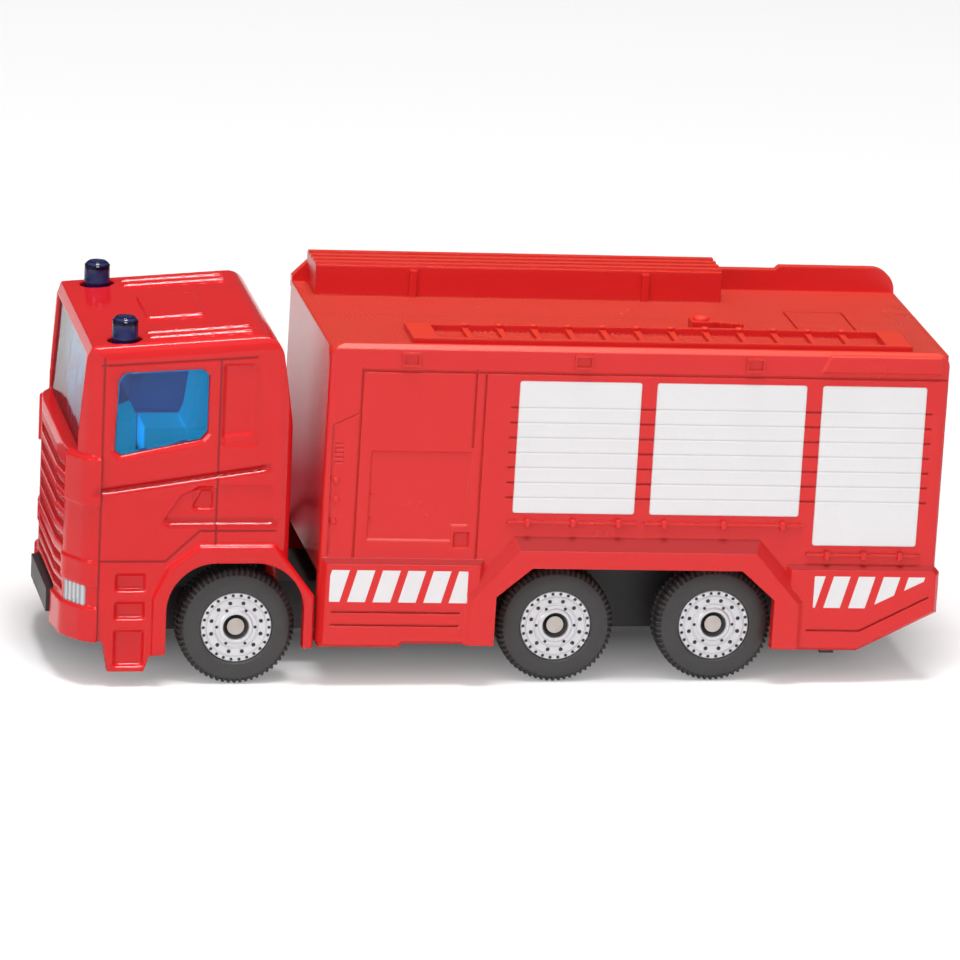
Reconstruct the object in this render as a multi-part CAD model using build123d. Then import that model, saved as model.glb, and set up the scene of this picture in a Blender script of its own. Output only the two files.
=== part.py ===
from build123d import *
import os
from math import atan2, degrees

# Toy fire truck of pocket size: a hollow die-cast cab, a moulded fire body on a black base,
# blue glazing with two beacons, and six wheels that turn freely on three steel axle pins.
# Frame: +X forward, +Y to the left, +Z up, origin on the floor below the middle of the toy.
# All sizes in millimetres, the body's pitch in degrees.

# Wheels and axles
wheel_r = 5.5
tyre_width = 4.0
tyre_outer_y = 12.6
tyre_shoulder = 0.5
rim_r = 3.35
rim_recess = 0.25
hub_pocket_r = 1.2
hub_pocket_depth = 0.6
axle_r = 0.55
axle_head_r = 0.8
axle_seat_fit = 0.03
wheel_fit = 0.06
wheel_end_float = 0.15
front_axle_x = 24.6
middle_axle_x = -5.4
rear_axle_x = -20.4

# Cab casting
cab_half_width = 13.2
cab_wall = 1.1
cab_front_x = 41.0
cab_rear_x = 19.9
cab_sill_z = 4.4
cab_nose_z = 21.5
cab_brow_z = 22.2
cab_brow_bevel = 0.3
cab_brow_depth = 1.15
cab_screen_lean = 0.65
cab_screen_top_z = 31.2
cab_roof_front_x = 38.7
cab_roof_front_z = 32.35
cab_roof_rear_x = 21.4
cab_roof_rear_z = 33.55
cab_roof_back_r = 2.2
cab_roof_edge = 1.0
cab_roof_drop = 1.6
cab_waist_z = 24.5
cab_back_r = 1.5
cab_corner_r = 2.4
nose_flat_y = 6.0
nose_shoulder_y = 10.2
nose_sweep = 0.5
corner_sweep = 2.4
screen_half_width = 11.3
window_front_x = 36.5
window_rear_x = 27.95
window_top_z = 30.3
window_top_fall = 0.45
window_lean = 0.25
window_low_z = 22.0
window_high_z = 23.75
window_corner = 0.6
window_frame = 0.4
door_front_x = 37.65
door_rear_x = 26.9
door_sill_z = 12.1
door_top_z = 31.3
drip_front_z = 30.65
drip_rear_z = 31.5
seam = 0.2
seam_depth = 0.18
blind_rear_x = 23.6
blind_low_z = 23.8
press_depth = 0.25
press_flank = 0.3
rib_front_x = 38.0
rib_rear_x = 22.3
rib_front_z = 18.7
rib_rear_z = 21.0
rib_height = 0.6
scoop_front_x = 32.2
scoop_rear_x = 21.6
scoop_low_z = 15.6
scoop_high_z = 19.4
handle_front_x = 29.5
handle_low_z = 16.9
handle_high_z = 19.0
arch_front_x = 31.3
arch_rear_x = 18.5
arch_top_z = 11.95
arch_corner_r = 4.6
flare_out = 0.45
flare_top_z = 13.7
flare_line_z = 15.0
flare_knee_z = 11.6
flare_front_x = 32.7
flare_rear_x = 17.5
flare_toe_z = 3.0
flare_leg_z = 3.7
flare_slope = 2.9
step_front_x = 37.1
step_bottom_z = 1.5
step_lean = 0.5
step_inner_y = 9.4
tread_low_height = 3.6
tread_height = 1.8
tread_gap = 0.45
bumper_out = 0.35
bumper_top_z = 7.6
lens_low_z = 9.8
lens_high_z = 12.0
lens_out = 0.15
lens_inner_y = 9.2
fairing_low_z = 17.4
fairing_high_z = 21.9
fairing_out = 0.4
fairing_inner_y = 10.4
grille_half_width = 9.4
grille_depth = 0.5
grille_low_z = 8.4
grille_split_z = 12.6
grille_slats = 5
mesh_slats = 3
slat_share = 0.5
beacon_x = 35.6
beacon_y = 10.7
beacon_r = 1.2
beacon_height = 2.15
beacon_bevel = 0.35
beacon_hole_r = 1.6
roof_rib = 0.25
roof_rib_width = 0.8
roof_rib_first_y = 8.6
roof_rib_pitch = 1.8
roof_rib_front_x = 33.6
hatch_half_width = 4.0
hatch_front_x = 32.9
hatch_rear_x = 27.2
plate_slot_gap = 0.3

# Glazing and seats inside the cab
glass_fit = 0.12
glass_wall = 0.8
glass_low_z = 20.4
glass_rear_x = 25.8
pane_sink = 0.3
pane_fit = 0.08
seat_side_gap = 1.5
seat_cushion_z = 24.0
seat_headroom = 1.6
seat_back_x = 27.2
seat_front_x = 33.4
dash_rear_x = 34.2
dash_z = 25.2
tub_wheel_gap = 1.2

# Fire body moulding
body_pitch = 1.0
body_half_width = 13.2
body_front_x = 17.2
body_rear_x = -41.15
body_wall = 1.2
body_corner_r = 0.6
deck_z = 32.05
lip_height = 0.4
lip_width = 1.2
lip_corner_r = 1.5
ledge_z = 12.1
skirt_out = 0.6
skirt_flank = 0.4
skirt_front_x = 16.95
skirt_lip_x = 9.4
skirt_lip_z = 3.55
skirt_low_z = 3.95
skirt_rear_low_z = 3.75
skirt_rise_x = -34.1
skirt_tail_x = -41.5
skirt_tail_z = 7.6
skirt_groove_z = 5.85
skirt_groove_pitch = 1.25
skirt_groove_margin = 1.0
fender_out = 1.1
fender_front_x = 2.9
fender_rear_x = -28.05
fender_leg = 2.3
fender_low_z = 4.1
fender_knee_z = 8.8
fender_top_z = 13.5
fender_open_z = 11.6
fender_slope = 4.4
fender_room = 0.5
parapet_z = 34.1
parapet_wall = 1.0
parapet_step = 0.35
parapet_step_x = -29.5
parapet_bevel = 1.5
parapet_corner_r = 2.2
locker_front_x = 15.8
locker_rear_x = -23.2
locker_inner_y = -7.1
locker_z = 34.95
locker_ridges = 4
locker_ridge = 0.25
clamp_front_x = 6.5
clamp_rear_x = -15.8
clamp_width = 0.7
clamp_out = 0.3
ladder_front_x = 6.9
ladder_rear_x = -35.4
ladder_inner_y = 5.5
ladder_outer_y = 11.4
ladder_rail = 0.55
ladder_height = 0.65
ladder_rungs = 12
ladder_rung = 0.6
ladder_foot = 2.4
monitor_x = -19.2
monitor_y = 3.4
monitor_height = 0.9
monitor_barrel = 4.0
hatch_line_front_x = -28.5
hatch_line_rear_x = -34.3
hatch_line_y = 4.0
cant_groove_z = 30.0
cant_groove = 0.25
cant_tail_x = -28.8
cant_tail_out = 0.2
cant_lamp = 1.75
cant_lamp_z = 30.45
cant_lamp_out = 0.25
cant_lamp_first_x = 9.7
cant_lamp_pitch = 16.15
shutter_top_z = 29.25
shutter_low_z = 16.65
shutter_rear_low_z = 13.9
shutter_first_x = -0.6
shutter_first_width = 11.45
shutter_second_width = 14.15
shutter_third_width = 9.9
shutter_gap = 1.45
slat_first_drop = 2.55
slat_pitch = 1.43
slat_lines = 7
slat_groove = 0.16
slat_depth = 0.1
rail_drop = 0.85
rail_out = 0.25
rail_height = 0.3
front_door_x = 12.95
front_door_rear_x = 3.5
front_door_low_z = 13.8
front_door_split_z = 22.4
front_door_sink = 0.15
front_panel_x = 14.1
door_post_x = 2.6
handle_pocket = 1.5
body_post_half = 2.0
body_post_front_x = 12.1
body_post_rear_x = -34.4
tail_half_width = 9.0
tail_low_z = 14.0
tail_top_z = 28.0
tail_sink = 0.3

# Black base
base_half_width = 5.6
base_low_z = 3.4
base_wall = 1.2
base_cab_z = 8.0
base_body_z = 10.8
base_front_x = 39.0
base_step_x = 15.6
base_rear_x = -38.4
base_block = 4.4
base_block_top_z = 8.0
hub_gap = 0.3
plate_front_x = 41.6
plate_thick = 0.9
plate_half_width = 6.0
plate_low_z = 5.3
plate_high_z = 7.5
tongue_half_width = 4.2
latch_x = -31.5
latch_width = 1.3
latch_low_z = 2.5
latch_wall = 1.2
latch_gap = 0.3
screw_x = 8.1
screw_r = 1.1
screw_boss_r = 2.3
screw_depth = 5.0

# Values worked out from the sizes above
hub_inner_y = tyre_outer_y - tyre_width - wheel_end_float
hub_bore_r = axle_r + wheel_fit
hub_floor_y = tyre_outer_y - rim_recess - hub_pocket_depth
hub_slope = (hub_pocket_r - hub_bore_r) / hub_pocket_depth
axle_head_y = hub_floor_y + wheel_end_float - wheel_fit / hub_slope
axle_end_y = axle_head_y + (axle_head_r - axle_r) / hub_slope
base_block_y = hub_inner_y - hub_gap
tub_half_width = tyre_outer_y - tyre_width - tub_wheel_gap
seat_half_width = cab_half_width - cab_wall - glass_fit - glass_wall - seat_side_gap
latch_outer_y = body_half_width - body_wall - latch_gap
lip_z = deck_z + lip_height
beyond = 60.0


def ring(points, corner=0.0):
    """Closed face through the points of a flat outline, with its corners cut off."""
    face = make_face(Polyline(*points, close=True))
    return chamfer(face.vertices(), corner) if corner else face


def side_face(points, corner=0.0):
    """Outline given as (x, z), standing in the middle plane of the toy."""
    return Plane.XZ * ring(points, corner)


def across(face, half_width):
    """Side outline carried to both sides of the middle plane."""
    return extrude(face, half_width, both=True)


def between(face, low_y, high_y):
    """Side outline carried from one distance off the middle plane to another."""
    return Pos(0, low_y, 0) * extrude(face, high_y - low_y, dir=(0, 1, 0))


def block(x, y, z):
    """Box between two limits on each axis."""
    size = (max(x) - min(x), max(y) - min(y), max(z) - min(z))
    return Pos((x[0] + x[1]) / 2, (y[0] + y[1]) / 2, (z[0] + z[1]) / 2) * Box(*size)


def both_sides(shape):
    """The shape with its mirror image on the other side of the toy."""
    return shape + mirror(shape, about=Plane.XZ)


def rod(x, z, radius, low_y, high_y):
    """Cylinder along Y."""
    return Pos(x, (low_y + high_y) / 2, z) * Rot(90, 0, 0) * Cylinder(radius, high_y - low_y)


def post(x, y, radius, low_z, high_z):
    """Cylinder along Z."""
    return Pos(x, y, (low_z + high_z) / 2) * Cylinder(radius, high_z - low_z)


def pressed(points, side_y, depth, flank, corner=0.0):
    """Recess sunk into the left side at a given width, its flanks sloping inwards."""
    slope = degrees(atan2(flank, depth))
    return Pos(0, side_y, 0) * extrude(side_face(points, corner), depth, taper=slope)


def raised(points, side_y, height, flank, corner=0.0):
    """Panel standing off the left side at a given width, its flanks sloping inwards."""
    sunk = pressed(points, 0, height, flank, corner)
    return Pos(0, side_y, 0) * mirror(sunk, about=Plane.XZ)


def line(start, end, side_y, width, depth):
    """Straight groove cut into the left side from one (x, z) point to another."""
    along = (Vector(*end) - Vector(*start)).normalized()
    out = Vector(-along.Y, along.X) * (width / 2)
    corners = [Vector(*start) + out, Vector(*start) - out, Vector(*end) - out, Vector(*end) + out]
    return between(side_face([(c.X, c.Y) for c in corners]), side_y - depth, side_y + depth)


def turned(points, x):
    """Solid of revolution about a wheel axis; the points are (radius, y)."""
    profile = make_face(Polyline(*points, close=True))
    return Pos(x, 0, wheel_r) * revolve(profile, Axis.Y)


def tyre(x):
    """Left tyre: flat inner wall, tread band and an outer wall that slopes in to the tread."""
    inner_y = tyre_outer_y - tyre_width
    return turned([
        (rim_r, inner_y),
        (wheel_r, inner_y),
        (wheel_r, tyre_outer_y - tyre_shoulder),
        (rim_r, tyre_outer_y),
    ], x)


def rim(x):
    """Left rim: a disc with a bore for the axle and a countersunk pocket for its head."""
    face_y = tyre_outer_y - rim_recess
    return turned([
        (hub_bore_r, hub_inner_y),
        (rim_r, hub_inner_y),
        (rim_r, face_y),
        (hub_pocket_r, face_y),
        (hub_bore_r, hub_floor_y),
    ], x)


def axle(x):
    """Steel pin through the base with a countersunk head in each wheel's pocket."""
    return turned([
        (0, -axle_end_y),
        (axle_head_r, -axle_end_y),
        (axle_r, -axle_head_y),
        (axle_r, axle_head_y),
        (axle_head_r, axle_end_y),
        (0, axle_end_y),
    ], x)


def cab_plan(inset):
    """Outline of the cab from above, drawn in by an inset: swept nose, corners rounded outside."""
    left = [
        (cab_front_x, nose_flat_y),
        (cab_front_x - nose_sweep, nose_shoulder_y),
        (cab_front_x - corner_sweep, cab_half_width),
        (cab_rear_x, cab_half_width),
    ]
    plan = ring(left + [(x, -y) for x, y in reversed(left)])
    if inset:
        plan = offset(plan, -inset, kind=Kind.INTERSECTION)
    if inset > 0:
        return plan
    plan = fillet(plan.vertices().sort_by(Axis.X)[2:6], cab_corner_r - inset)
    return fillet(plan.vertices().sort_by(Axis.X)[:2], cab_back_r - inset)


def cab_side(inset, low_z):
    """Outline of the cab from the side, drawn in by an inset: nose, brow, screen, roof and back."""
    brow_x = cab_front_x - cab_brow_depth
    outline = ring([
        (cab_front_x, low_z - inset),
        (cab_front_x, cab_nose_z),
        (cab_front_x - cab_brow_bevel, cab_brow_z),
        (brow_x, cab_brow_z),
        (brow_x - cab_screen_lean, cab_screen_top_z),
        (cab_roof_front_x, cab_roof_front_z),
        (cab_roof_rear_x, cab_roof_rear_z),
        (cab_rear_x, cab_waist_z),
        (cab_rear_x, low_z - inset),
    ])
    if inset:
        return Plane.XZ * offset(outline, -inset, kind=Kind.INTERSECTION)
    top_back = outline.vertices().sort_by(lambda v: v.Y - v.X)[-1]
    return Plane.XZ * fillet(top_back, cab_roof_back_r)


def cab_form(inset, low_z):
    """Outer form of the cab drawn in by an inset: side and plan outlines intersected."""
    return across(cab_side(inset, low_z), beyond) & extrude(cab_plan(inset), beyond)


def cab_roof_z(x):
    """Height of the sloping cab roof."""
    rise = (cab_roof_rear_z - cab_roof_front_z) / (cab_roof_front_x - cab_roof_rear_x)
    return cab_roof_front_z + (cab_roof_front_x - x) * rise


def roof_edge_cut(drop_y, drop_z):
    """Wedge that takes off the left roof edge along the slope of the roof."""
    edge_z = cab_roof_z(cab_front_x)
    wedge = Plane.YZ * ring([
        (cab_half_width - 2 * drop_y, edge_z + drop_z),
        (cab_half_width + drop_y, edge_z - 2 * drop_z),
        (cab_half_width + drop_y, edge_z + drop_z),
    ])
    length = cab_front_x - cab_rear_x
    slope = Vector(-length, 0, cab_roof_z(cab_rear_x) - edge_z)
    return Pos(cab_front_x, 0, 0) * extrude(wedge, slope.length, dir=slope.normalized())


def nose_band(low_z, high_z, out, inner_y):
    """Band round both front corners, standing off the nose and reaching in to a given width."""
    band = Pos(0, 0, low_z) * extrude(cab_plan(-out), high_z - low_z)
    band &= block((door_front_x, beyond), (-beyond, beyond), (low_z, high_z))
    if inner_y:
        band -= block((door_front_x, beyond), (-inner_y, inner_y), (low_z, high_z))
    return band


def window_points(margin):
    """Side window, its lower edge rising to the rear, widened by a margin."""
    return [
        (window_front_x + margin, window_low_z - margin),
        (window_front_x - window_lean + margin, window_top_z - window_top_fall + margin),
        (window_rear_x - margin, window_top_z + margin),
        (window_rear_x - margin, window_high_z - margin),
    ]


def screen_block(margin):
    """Room of the windscreen opening, narrowed by a margin."""
    half_width = screen_half_width - margin
    z = (cab_brow_z + margin, cab_screen_top_z - margin)
    return block((beacon_x + beacon_hole_r + roof_rib, beyond), (-half_width, half_width), z)


def flare_points():
    """Front wheel flare from the step to the leg behind the wheel."""
    return [
        (flare_front_x, flare_toe_z),
        (flare_front_x, flare_knee_z - flare_slope),
        (arch_front_x, flare_knee_z),
        (arch_front_x - flare_slope, flare_top_z),
        (cab_rear_x + flare_slope / 2, flare_top_z),
        (cab_rear_x - seam, flare_knee_z),
        (flare_rear_x, flare_knee_z - flare_slope),
        (flare_rear_x, flare_leg_z),
    ]


def cab_flare():
    """Left wheel flare, standing off the cab side."""
    points = flare_points()
    leg = between(side_face(points), cab_half_width - cab_wall, cab_half_width)
    return leg + raised(points, cab_half_width, flare_out, flare_out / 2)


def arch_outline():
    """Front wheel opening with a flat top and round shoulders."""
    opening = ring([
        (arch_rear_x, -beyond),
        (arch_rear_x, arch_top_z),
        (arch_front_x, arch_top_z),
        (arch_front_x, -beyond),
    ])
    return Plane.XZ * fillet(opening.vertices().sort_by(Axis.Y)[-2:], arch_corner_r)


def cab_steps():
    """Left block of the entry steps, from below the door to the wheel flare."""
    toe_x = flare_front_x + step_lean
    outline = side_face([
        (step_front_x, cab_sill_z),
        (step_front_x - step_lean, step_bottom_z),
        (toe_x, step_bottom_z),
        (flare_front_x, flare_toe_z),
        (flare_front_x, door_sill_z),
        (step_front_x, door_sill_z),
    ])
    return between(outline, step_inner_y, cab_half_width)


def tread_cuts():
    """Left treads: a boxed lower step and two shallow ones above it."""
    front_x = step_front_x - step_lean - tread_gap
    rear_x = flare_front_x + step_lean
    low_z = step_bottom_z + tread_gap
    cuts = []
    for height in (tread_low_height, tread_height, tread_height):
        high_z = low_z + height
        box = [(front_x, low_z), (front_x, high_z), (rear_x, high_z), (rear_x, low_z)]
        cuts.append(pressed(box, cab_half_width, 2 * press_depth, press_flank))
        low_z = high_z + 2 * tread_gap
    return cuts


def door_handle():
    """Left handle pocket at the rear edge of the door."""
    rear_x = door_rear_x + seam
    return [
        (handle_front_x, handle_low_z),
        (handle_front_x - (handle_high_z - handle_low_z) / 2, handle_high_z),
        (rear_x, handle_high_z),
        (rear_x, handle_low_z),
    ]


def cab_side_cuts():
    """Left side of the cab: window frame, blind panel, rib line, scoop, handle and door joints."""
    side_y = cab_half_width
    frame_corner = window_corner + window_frame / 2
    blind = [
        (door_rear_x - seam, blind_low_z),
        (door_rear_x - seam, door_top_z - press_flank),
        (blind_rear_x, door_top_z - press_flank),
        (blind_rear_x, blind_low_z + press_flank),
    ]
    rib = [
        (rib_front_x, rib_front_z - rib_height / 2),
        (rib_front_x, rib_front_z + rib_height / 2),
        (rib_rear_x, rib_rear_z + rib_height / 2),
        (rib_rear_x, rib_rear_z - rib_height / 2),
    ]
    scoop_height = scoop_high_z - scoop_low_z
    scoop = [
        (scoop_front_x, scoop_low_z),
        (scoop_front_x - scoop_height / 2, scoop_high_z - scoop_height / 4),
        (scoop_front_x - scoop_height, scoop_high_z),
        (scoop_rear_x, scoop_high_z),
        (scoop_rear_x, scoop_low_z),
    ]
    cuts = [
        pressed(window_points(window_frame), side_y, press_depth, press_flank, frame_corner),
        pressed(blind, side_y, press_depth, press_flank),
        pressed(rib, side_y, press_depth, press_flank * 0.9),
        pressed(scoop, side_y, press_depth, press_flank),
        pressed(door_handle(), side_y, 2 * press_depth, press_flank),
    ]
    step_x = arch_front_x + seam
    slope_x = arch_front_x - flare_slope
    joints = [
        ((door_front_x, cab_sill_z), (door_front_x, door_top_z)),
        ((door_rear_x, flare_top_z), (door_rear_x, door_top_z)),
        ((door_front_x, door_sill_z), (step_x, door_sill_z)),
        ((step_x, door_sill_z), (slope_x, flare_line_z)),
        ((slope_x, flare_line_z), (cab_rear_x + cab_back_r, flare_line_z)),
        ((door_front_x + seam, drip_front_z), (blind_rear_x, drip_rear_z)),
    ]
    return cuts + tread_cuts() + [line(start, end, side_y, seam, seam_depth) for start, end in joints]


def grille_slots():
    """Slots between the broad upper slats and between the fine lower ones, following the nose."""
    slots = []
    for low_z, high_z, count in (
        (grille_split_z, cab_nose_z - seam, grille_slats),
        (grille_low_z, grille_split_z - 2 * seam, mesh_slats),
    ):
        pitch = (high_z - low_z) / count
        for k in range(count):
            z = (low_z + k * pitch, low_z + (k + slat_share) * pitch)
            slots.append(block((cab_front_x - 2, beyond), (-grille_half_width, grille_half_width), z))
    core = cab_form(grille_depth, 0)
    return [slot - core for slot in slots]


def roof_strip(low_y, high_y, front_x, rear_x):
    """Raised strip that follows the cab roof."""
    sunk = cab_wall / 2
    outline = side_face([
        (front_x, cab_roof_z(front_x) - sunk),
        (front_x - roof_rib, cab_roof_z(front_x) + roof_rib),
        (rear_x + roof_rib, cab_roof_z(rear_x) + roof_rib),
        (rear_x, cab_roof_z(rear_x) - sunk),
    ])
    return between(outline, low_y, high_y)


def cab_shell():
    """Hollow casting: nose, roof, pillars, arches, steps, grille and beacon holes."""
    shell = cab_form(0, cab_sill_z)
    for share in (0.2, 0.5, 0.8):
        cut = roof_edge_cut(cab_roof_edge * (1 - share), cab_roof_drop * share)
        shell -= both_sides(cut)
    shell += nose_band(cab_sill_z, bumper_top_z, bumper_out, 0)
    shell += nose_band(lens_low_z, lens_high_z, lens_out, lens_inner_y)
    shell += nose_band(fairing_low_z, fairing_high_z, fairing_out, fairing_inner_y)
    shell += both_sides(cab_flare() + cab_steps())
    shell += roof_strip(-hatch_half_width, hatch_half_width, hatch_front_x, hatch_rear_x)
    for k in range(2):
        rib_y = roof_rib_first_y + k * roof_rib_pitch
        rear_x = cab_roof_rear_x + cab_roof_back_r
        shell += both_sides(roof_strip(rib_y, rib_y + roof_rib_width, roof_rib_front_x, rear_x))
    shell -= cab_form(cab_wall, 0)
    arch = between(arch_outline(), step_inner_y - tyre_width, cab_half_width + 2 * flare_out)
    shell -= both_sides(arch)
    shell -= block((0, arch_front_x), (-step_inner_y, step_inner_y), (0, base_cab_z))
    for cut in cab_side_cuts():
        shell -= both_sides(cut)
    shell -= across(side_face(window_points(0), window_corner), beyond)
    shell -= screen_block(0)
    for slot in grille_slots():
        shell -= slot
    slot_y = plate_half_width + plate_slot_gap
    shell -= block(
        (base_front_x - cab_corner_r, beyond), (-slot_y, slot_y), (0, plate_high_z + plate_slot_gap)
    )
    return shell - both_sides(post(beacon_x, beacon_y, beacon_hole_r, glass_low_z, beyond))


def cab_glazing():
    """Clear insert: panes that fill the openings and a roof plate that carries both beacons."""
    outer = cab_wall + glass_fit
    body = cab_form(outer, 0)
    shell = body - cab_form(outer + glass_wall, 0)
    shell &= block((glass_rear_x, beyond), (-beyond, beyond), (glass_low_z, beyond))
    panes = across(side_face(window_points(-pane_fit), window_corner), beyond) + screen_block(pane_fit)
    shell += (cab_form(pane_sink, 0) & panes) - body
    top_z = cab_roof_z(beacon_x) + beacon_height
    foot_z = cab_roof_z(beacon_x) - outer - glass_wall / 2
    beacon = post(beacon_x, beacon_y, beacon_r, foot_z, top_z)
    beacon = chamfer(beacon.faces().sort_by(Axis.Z)[-1].edges(), beacon_bevel)
    return shell + both_sides(beacon)


def cab_interior():
    """Seat tub: pedestal on the base, cushions, seat backs and dashboard."""
    floor_z = (base_cab_z + seat_cushion_z) / 2
    front_x = beacon_x + cab_wall
    rear_x = cab_rear_x + 2 * cab_wall
    seat_back_z = cab_screen_top_z - seat_headroom
    tub = block((rear_x, front_x), (-tub_half_width, tub_half_width), (base_cab_z, floor_z))
    back = side_face([
        (rear_x, floor_z - cab_wall),
        (rear_x, seat_back_z - cab_wall),
        (rear_x + cab_wall, seat_back_z),
        (seat_back_x, seat_back_z),
        (seat_back_x + cab_wall, seat_back_z - 2 * cab_wall),
        (seat_back_x + 2 * cab_wall, seat_cushion_z),
        (seat_front_x, seat_cushion_z),
        (seat_front_x, floor_z - cab_wall),
    ])
    dash = side_face([
        (dash_rear_x, floor_z - cab_wall),
        (dash_rear_x, dash_z),
        (front_x, dash_z - cab_wall),
        (front_x, floor_z - cab_wall),
    ])
    return tub + across(back, seat_half_width) + across(dash, seat_half_width)


def fender_points(margin, low_z):
    """Fender over both rear wheels; the margin draws it in to the wheel opening."""
    front_x = fender_front_x - margin
    rear_x = fender_rear_x + margin
    top_z = fender_top_z - (fender_top_z - fender_open_z) * margin / fender_leg
    slope_x = fender_slope - margin / 2
    return [
        (front_x, low_z),
        (front_x, fender_knee_z),
        (front_x - slope_x, top_z),
        (rear_x + slope_x, top_z),
        (rear_x, fender_knee_z),
        (rear_x, low_z),
    ]


def body_fender():
    """Left fender: sloping flanks down to the body side, legs cut level below."""
    grown = [(x, z) for x, z in fender_points(-fender_out, -beyond)]
    fender = raised(grown, body_half_width, fender_out, fender_out)
    floor_x = (fender_rear_x - beyond, fender_front_x + beyond)
    return fender - block(floor_x, (0, beyond), (-2 * beyond, fender_low_z))


def body_skirt():
    """Left skirt ahead of the fender and behind it, with a raised tail."""
    front_end = fender_front_x - fender_leg / 2
    rear_end = fender_rear_x + fender_leg / 2
    front = [
        (skirt_front_x, skirt_lip_z),
        (skirt_lip_x, skirt_lip_z),
        (skirt_lip_x - skirt_flank, skirt_low_z),
        (front_end, skirt_low_z),
        (front_end, ledge_z),
        (skirt_front_x, ledge_z),
    ]
    rear = [
        (rear_end, skirt_rear_low_z),
        (skirt_rise_x, skirt_rear_low_z),
        (skirt_tail_x, skirt_tail_z),
        (skirt_tail_x, ledge_z - skirt_out),
        (skirt_tail_x + skirt_out, ledge_z),
        (rear_end, ledge_z),
    ]
    inner_y = body_half_width - body_wall
    walls = between(side_face(front), inner_y, body_half_width)
    walls += between(side_face(rear), inner_y, body_half_width)
    for points in (front, rear):
        walls += raised(points, body_half_width, skirt_out, skirt_flank)
    return walls


def skirt_grooves():
    """Grooves along the left skirt, the rear lower one following the rising tail."""
    side_y = body_half_width + skirt_out
    front_x = skirt_front_x - skirt_groove_margin
    front_end = fender_front_x + skirt_groove_margin
    rear_start = fender_rear_x - skirt_groove_margin
    rise = (skirt_tail_z - skirt_rear_low_z) / (skirt_rise_x - skirt_tail_x)
    tail_x = skirt_tail_x + skirt_groove_margin
    tail_z = skirt_groove_z + (skirt_rise_x - tail_x) * rise
    routes = [((rear_start, skirt_groove_z), (skirt_rise_x, skirt_groove_z))]
    routes.append(((skirt_rise_x, skirt_groove_z), (tail_x, tail_z)))
    for k in range(2):
        groove_z = skirt_groove_z + k * skirt_groove_pitch
        routes.append(((front_x, groove_z), (front_end, groove_z)))
    return [line(start, end, side_y, seam, seam_depth) for start, end in routes]


def shutter_spans():
    """Front edge, rear edge and lower edge of each roller shutter."""
    second_x = shutter_first_x - shutter_first_width - shutter_gap
    third_x = second_x - shutter_second_width - shutter_gap
    return [
        (shutter_first_x, shutter_first_x - shutter_first_width, shutter_low_z),
        (second_x, second_x - shutter_second_width, shutter_low_z),
        (third_x, third_x - shutter_third_width, shutter_rear_low_z),
    ]


def side_cuts():
    """Left side of the upper body: slat lines, door recess, panel lines and cant groove."""
    side_y = body_half_width
    last_rear_x = shutter_spans()[-1][1]
    cuts = []
    for k in range(slat_lines):
        slat_z = shutter_top_z - slat_first_drop - k * slat_pitch
        start = (shutter_first_x + shutter_gap / 2, slat_z)
        cuts.append(line(start, (last_rear_x - shutter_gap / 2, slat_z), side_y, slat_groove, slat_depth))
    door = [
        (front_door_x, front_door_low_z),
        (front_door_x, front_door_split_z),
        (front_door_rear_x, front_door_split_z),
        (front_door_rear_x, front_door_low_z + handle_pocket),
        (front_door_rear_x + handle_pocket, front_door_low_z + handle_pocket),
        (front_door_rear_x + handle_pocket, front_door_low_z),
    ]
    cuts.append(pressed(door, side_y, front_door_sink, front_door_sink))
    pocket = [(x, z - front_door_sink * 4) for x, z in (
        (front_door_rear_x + handle_pocket - seam, front_door_low_z + handle_pocket),
        (front_door_rear_x - seam, front_door_low_z + handle_pocket),
        (front_door_rear_x - seam, front_door_low_z),
        (front_door_rear_x + handle_pocket - seam, front_door_low_z),
    )]
    cuts.append(pressed(pocket, side_y, 2 * front_door_sink, front_door_sink))
    top_z = cant_groove_z + cant_groove
    post_lines = [
        (front_panel_x, ledge_z, top_z),
        (front_door_rear_x, front_door_split_z + 2 * seam, top_z),
        (door_post_x, ledge_z, cant_groove_z - seam),
    ]
    for x, low_z, high_z in post_lines:
        cuts.append(line((x, low_z), (x, high_z), side_y, seam, seam_depth))
    start = (front_panel_x, cant_groove_z)
    end = (body_rear_x - seam, cant_groove_z)
    return cuts + [line(start, end, side_y, cant_groove, seam_depth)]


def hand_rails():
    """Left hand rails below the shutters."""
    rails = []
    for front_x, rear_x, low_z in shutter_spans():
        rail_z = low_z - rail_drop
        y = (body_half_width - seam_depth, body_half_width + rail_out)
        x = (front_x + shutter_gap / 3, rear_x - shutter_gap / 3)
        rails.append(block(x, y, (rail_z - rail_height / 2, rail_z + rail_height / 2)))
    return rails


def cant_fittings():
    """Left cant rail: framed lamps and the thicker rail at the tail."""
    tail_top_z = deck_z + lip_height / 2
    tail_end_x = body_rear_x + lip_corner_r / 2
    tail = [
        (cant_tail_x, cant_lamp_z),
        (cant_tail_x - (tail_top_z - cant_lamp_z) / 2, tail_top_z),
        (tail_end_x, tail_top_z),
        (tail_end_x, cant_lamp_z),
    ]
    fittings = [raised(tail, body_half_width, cant_tail_out, cant_tail_out)]
    half = cant_lamp / 2
    for k in range(3):
        x = cant_lamp_first_x - k * cant_lamp_pitch
        z = (cant_lamp_z, cant_lamp_z + cant_lamp * 0.75)
        y = (body_half_width - seam_depth, body_half_width + cant_lamp_out)
        frame = block((x - half, x + half), y, z)
        y = (body_half_width, body_half_width + 2 * cant_lamp_out)
        frame -= block((x - half + seam, x + half - seam), y, (z[0] + seam, z[1] - seam))
        fittings.append(frame)
    return fittings


def body_plan():
    """Outline of the body from above, with rounded corners."""
    length = body_front_x - body_rear_x
    middle_x = (body_front_x + body_rear_x) / 2
    return Pos(middle_x, 0) * RectangleRounded(length, 2 * body_half_width, body_corner_r)


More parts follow.
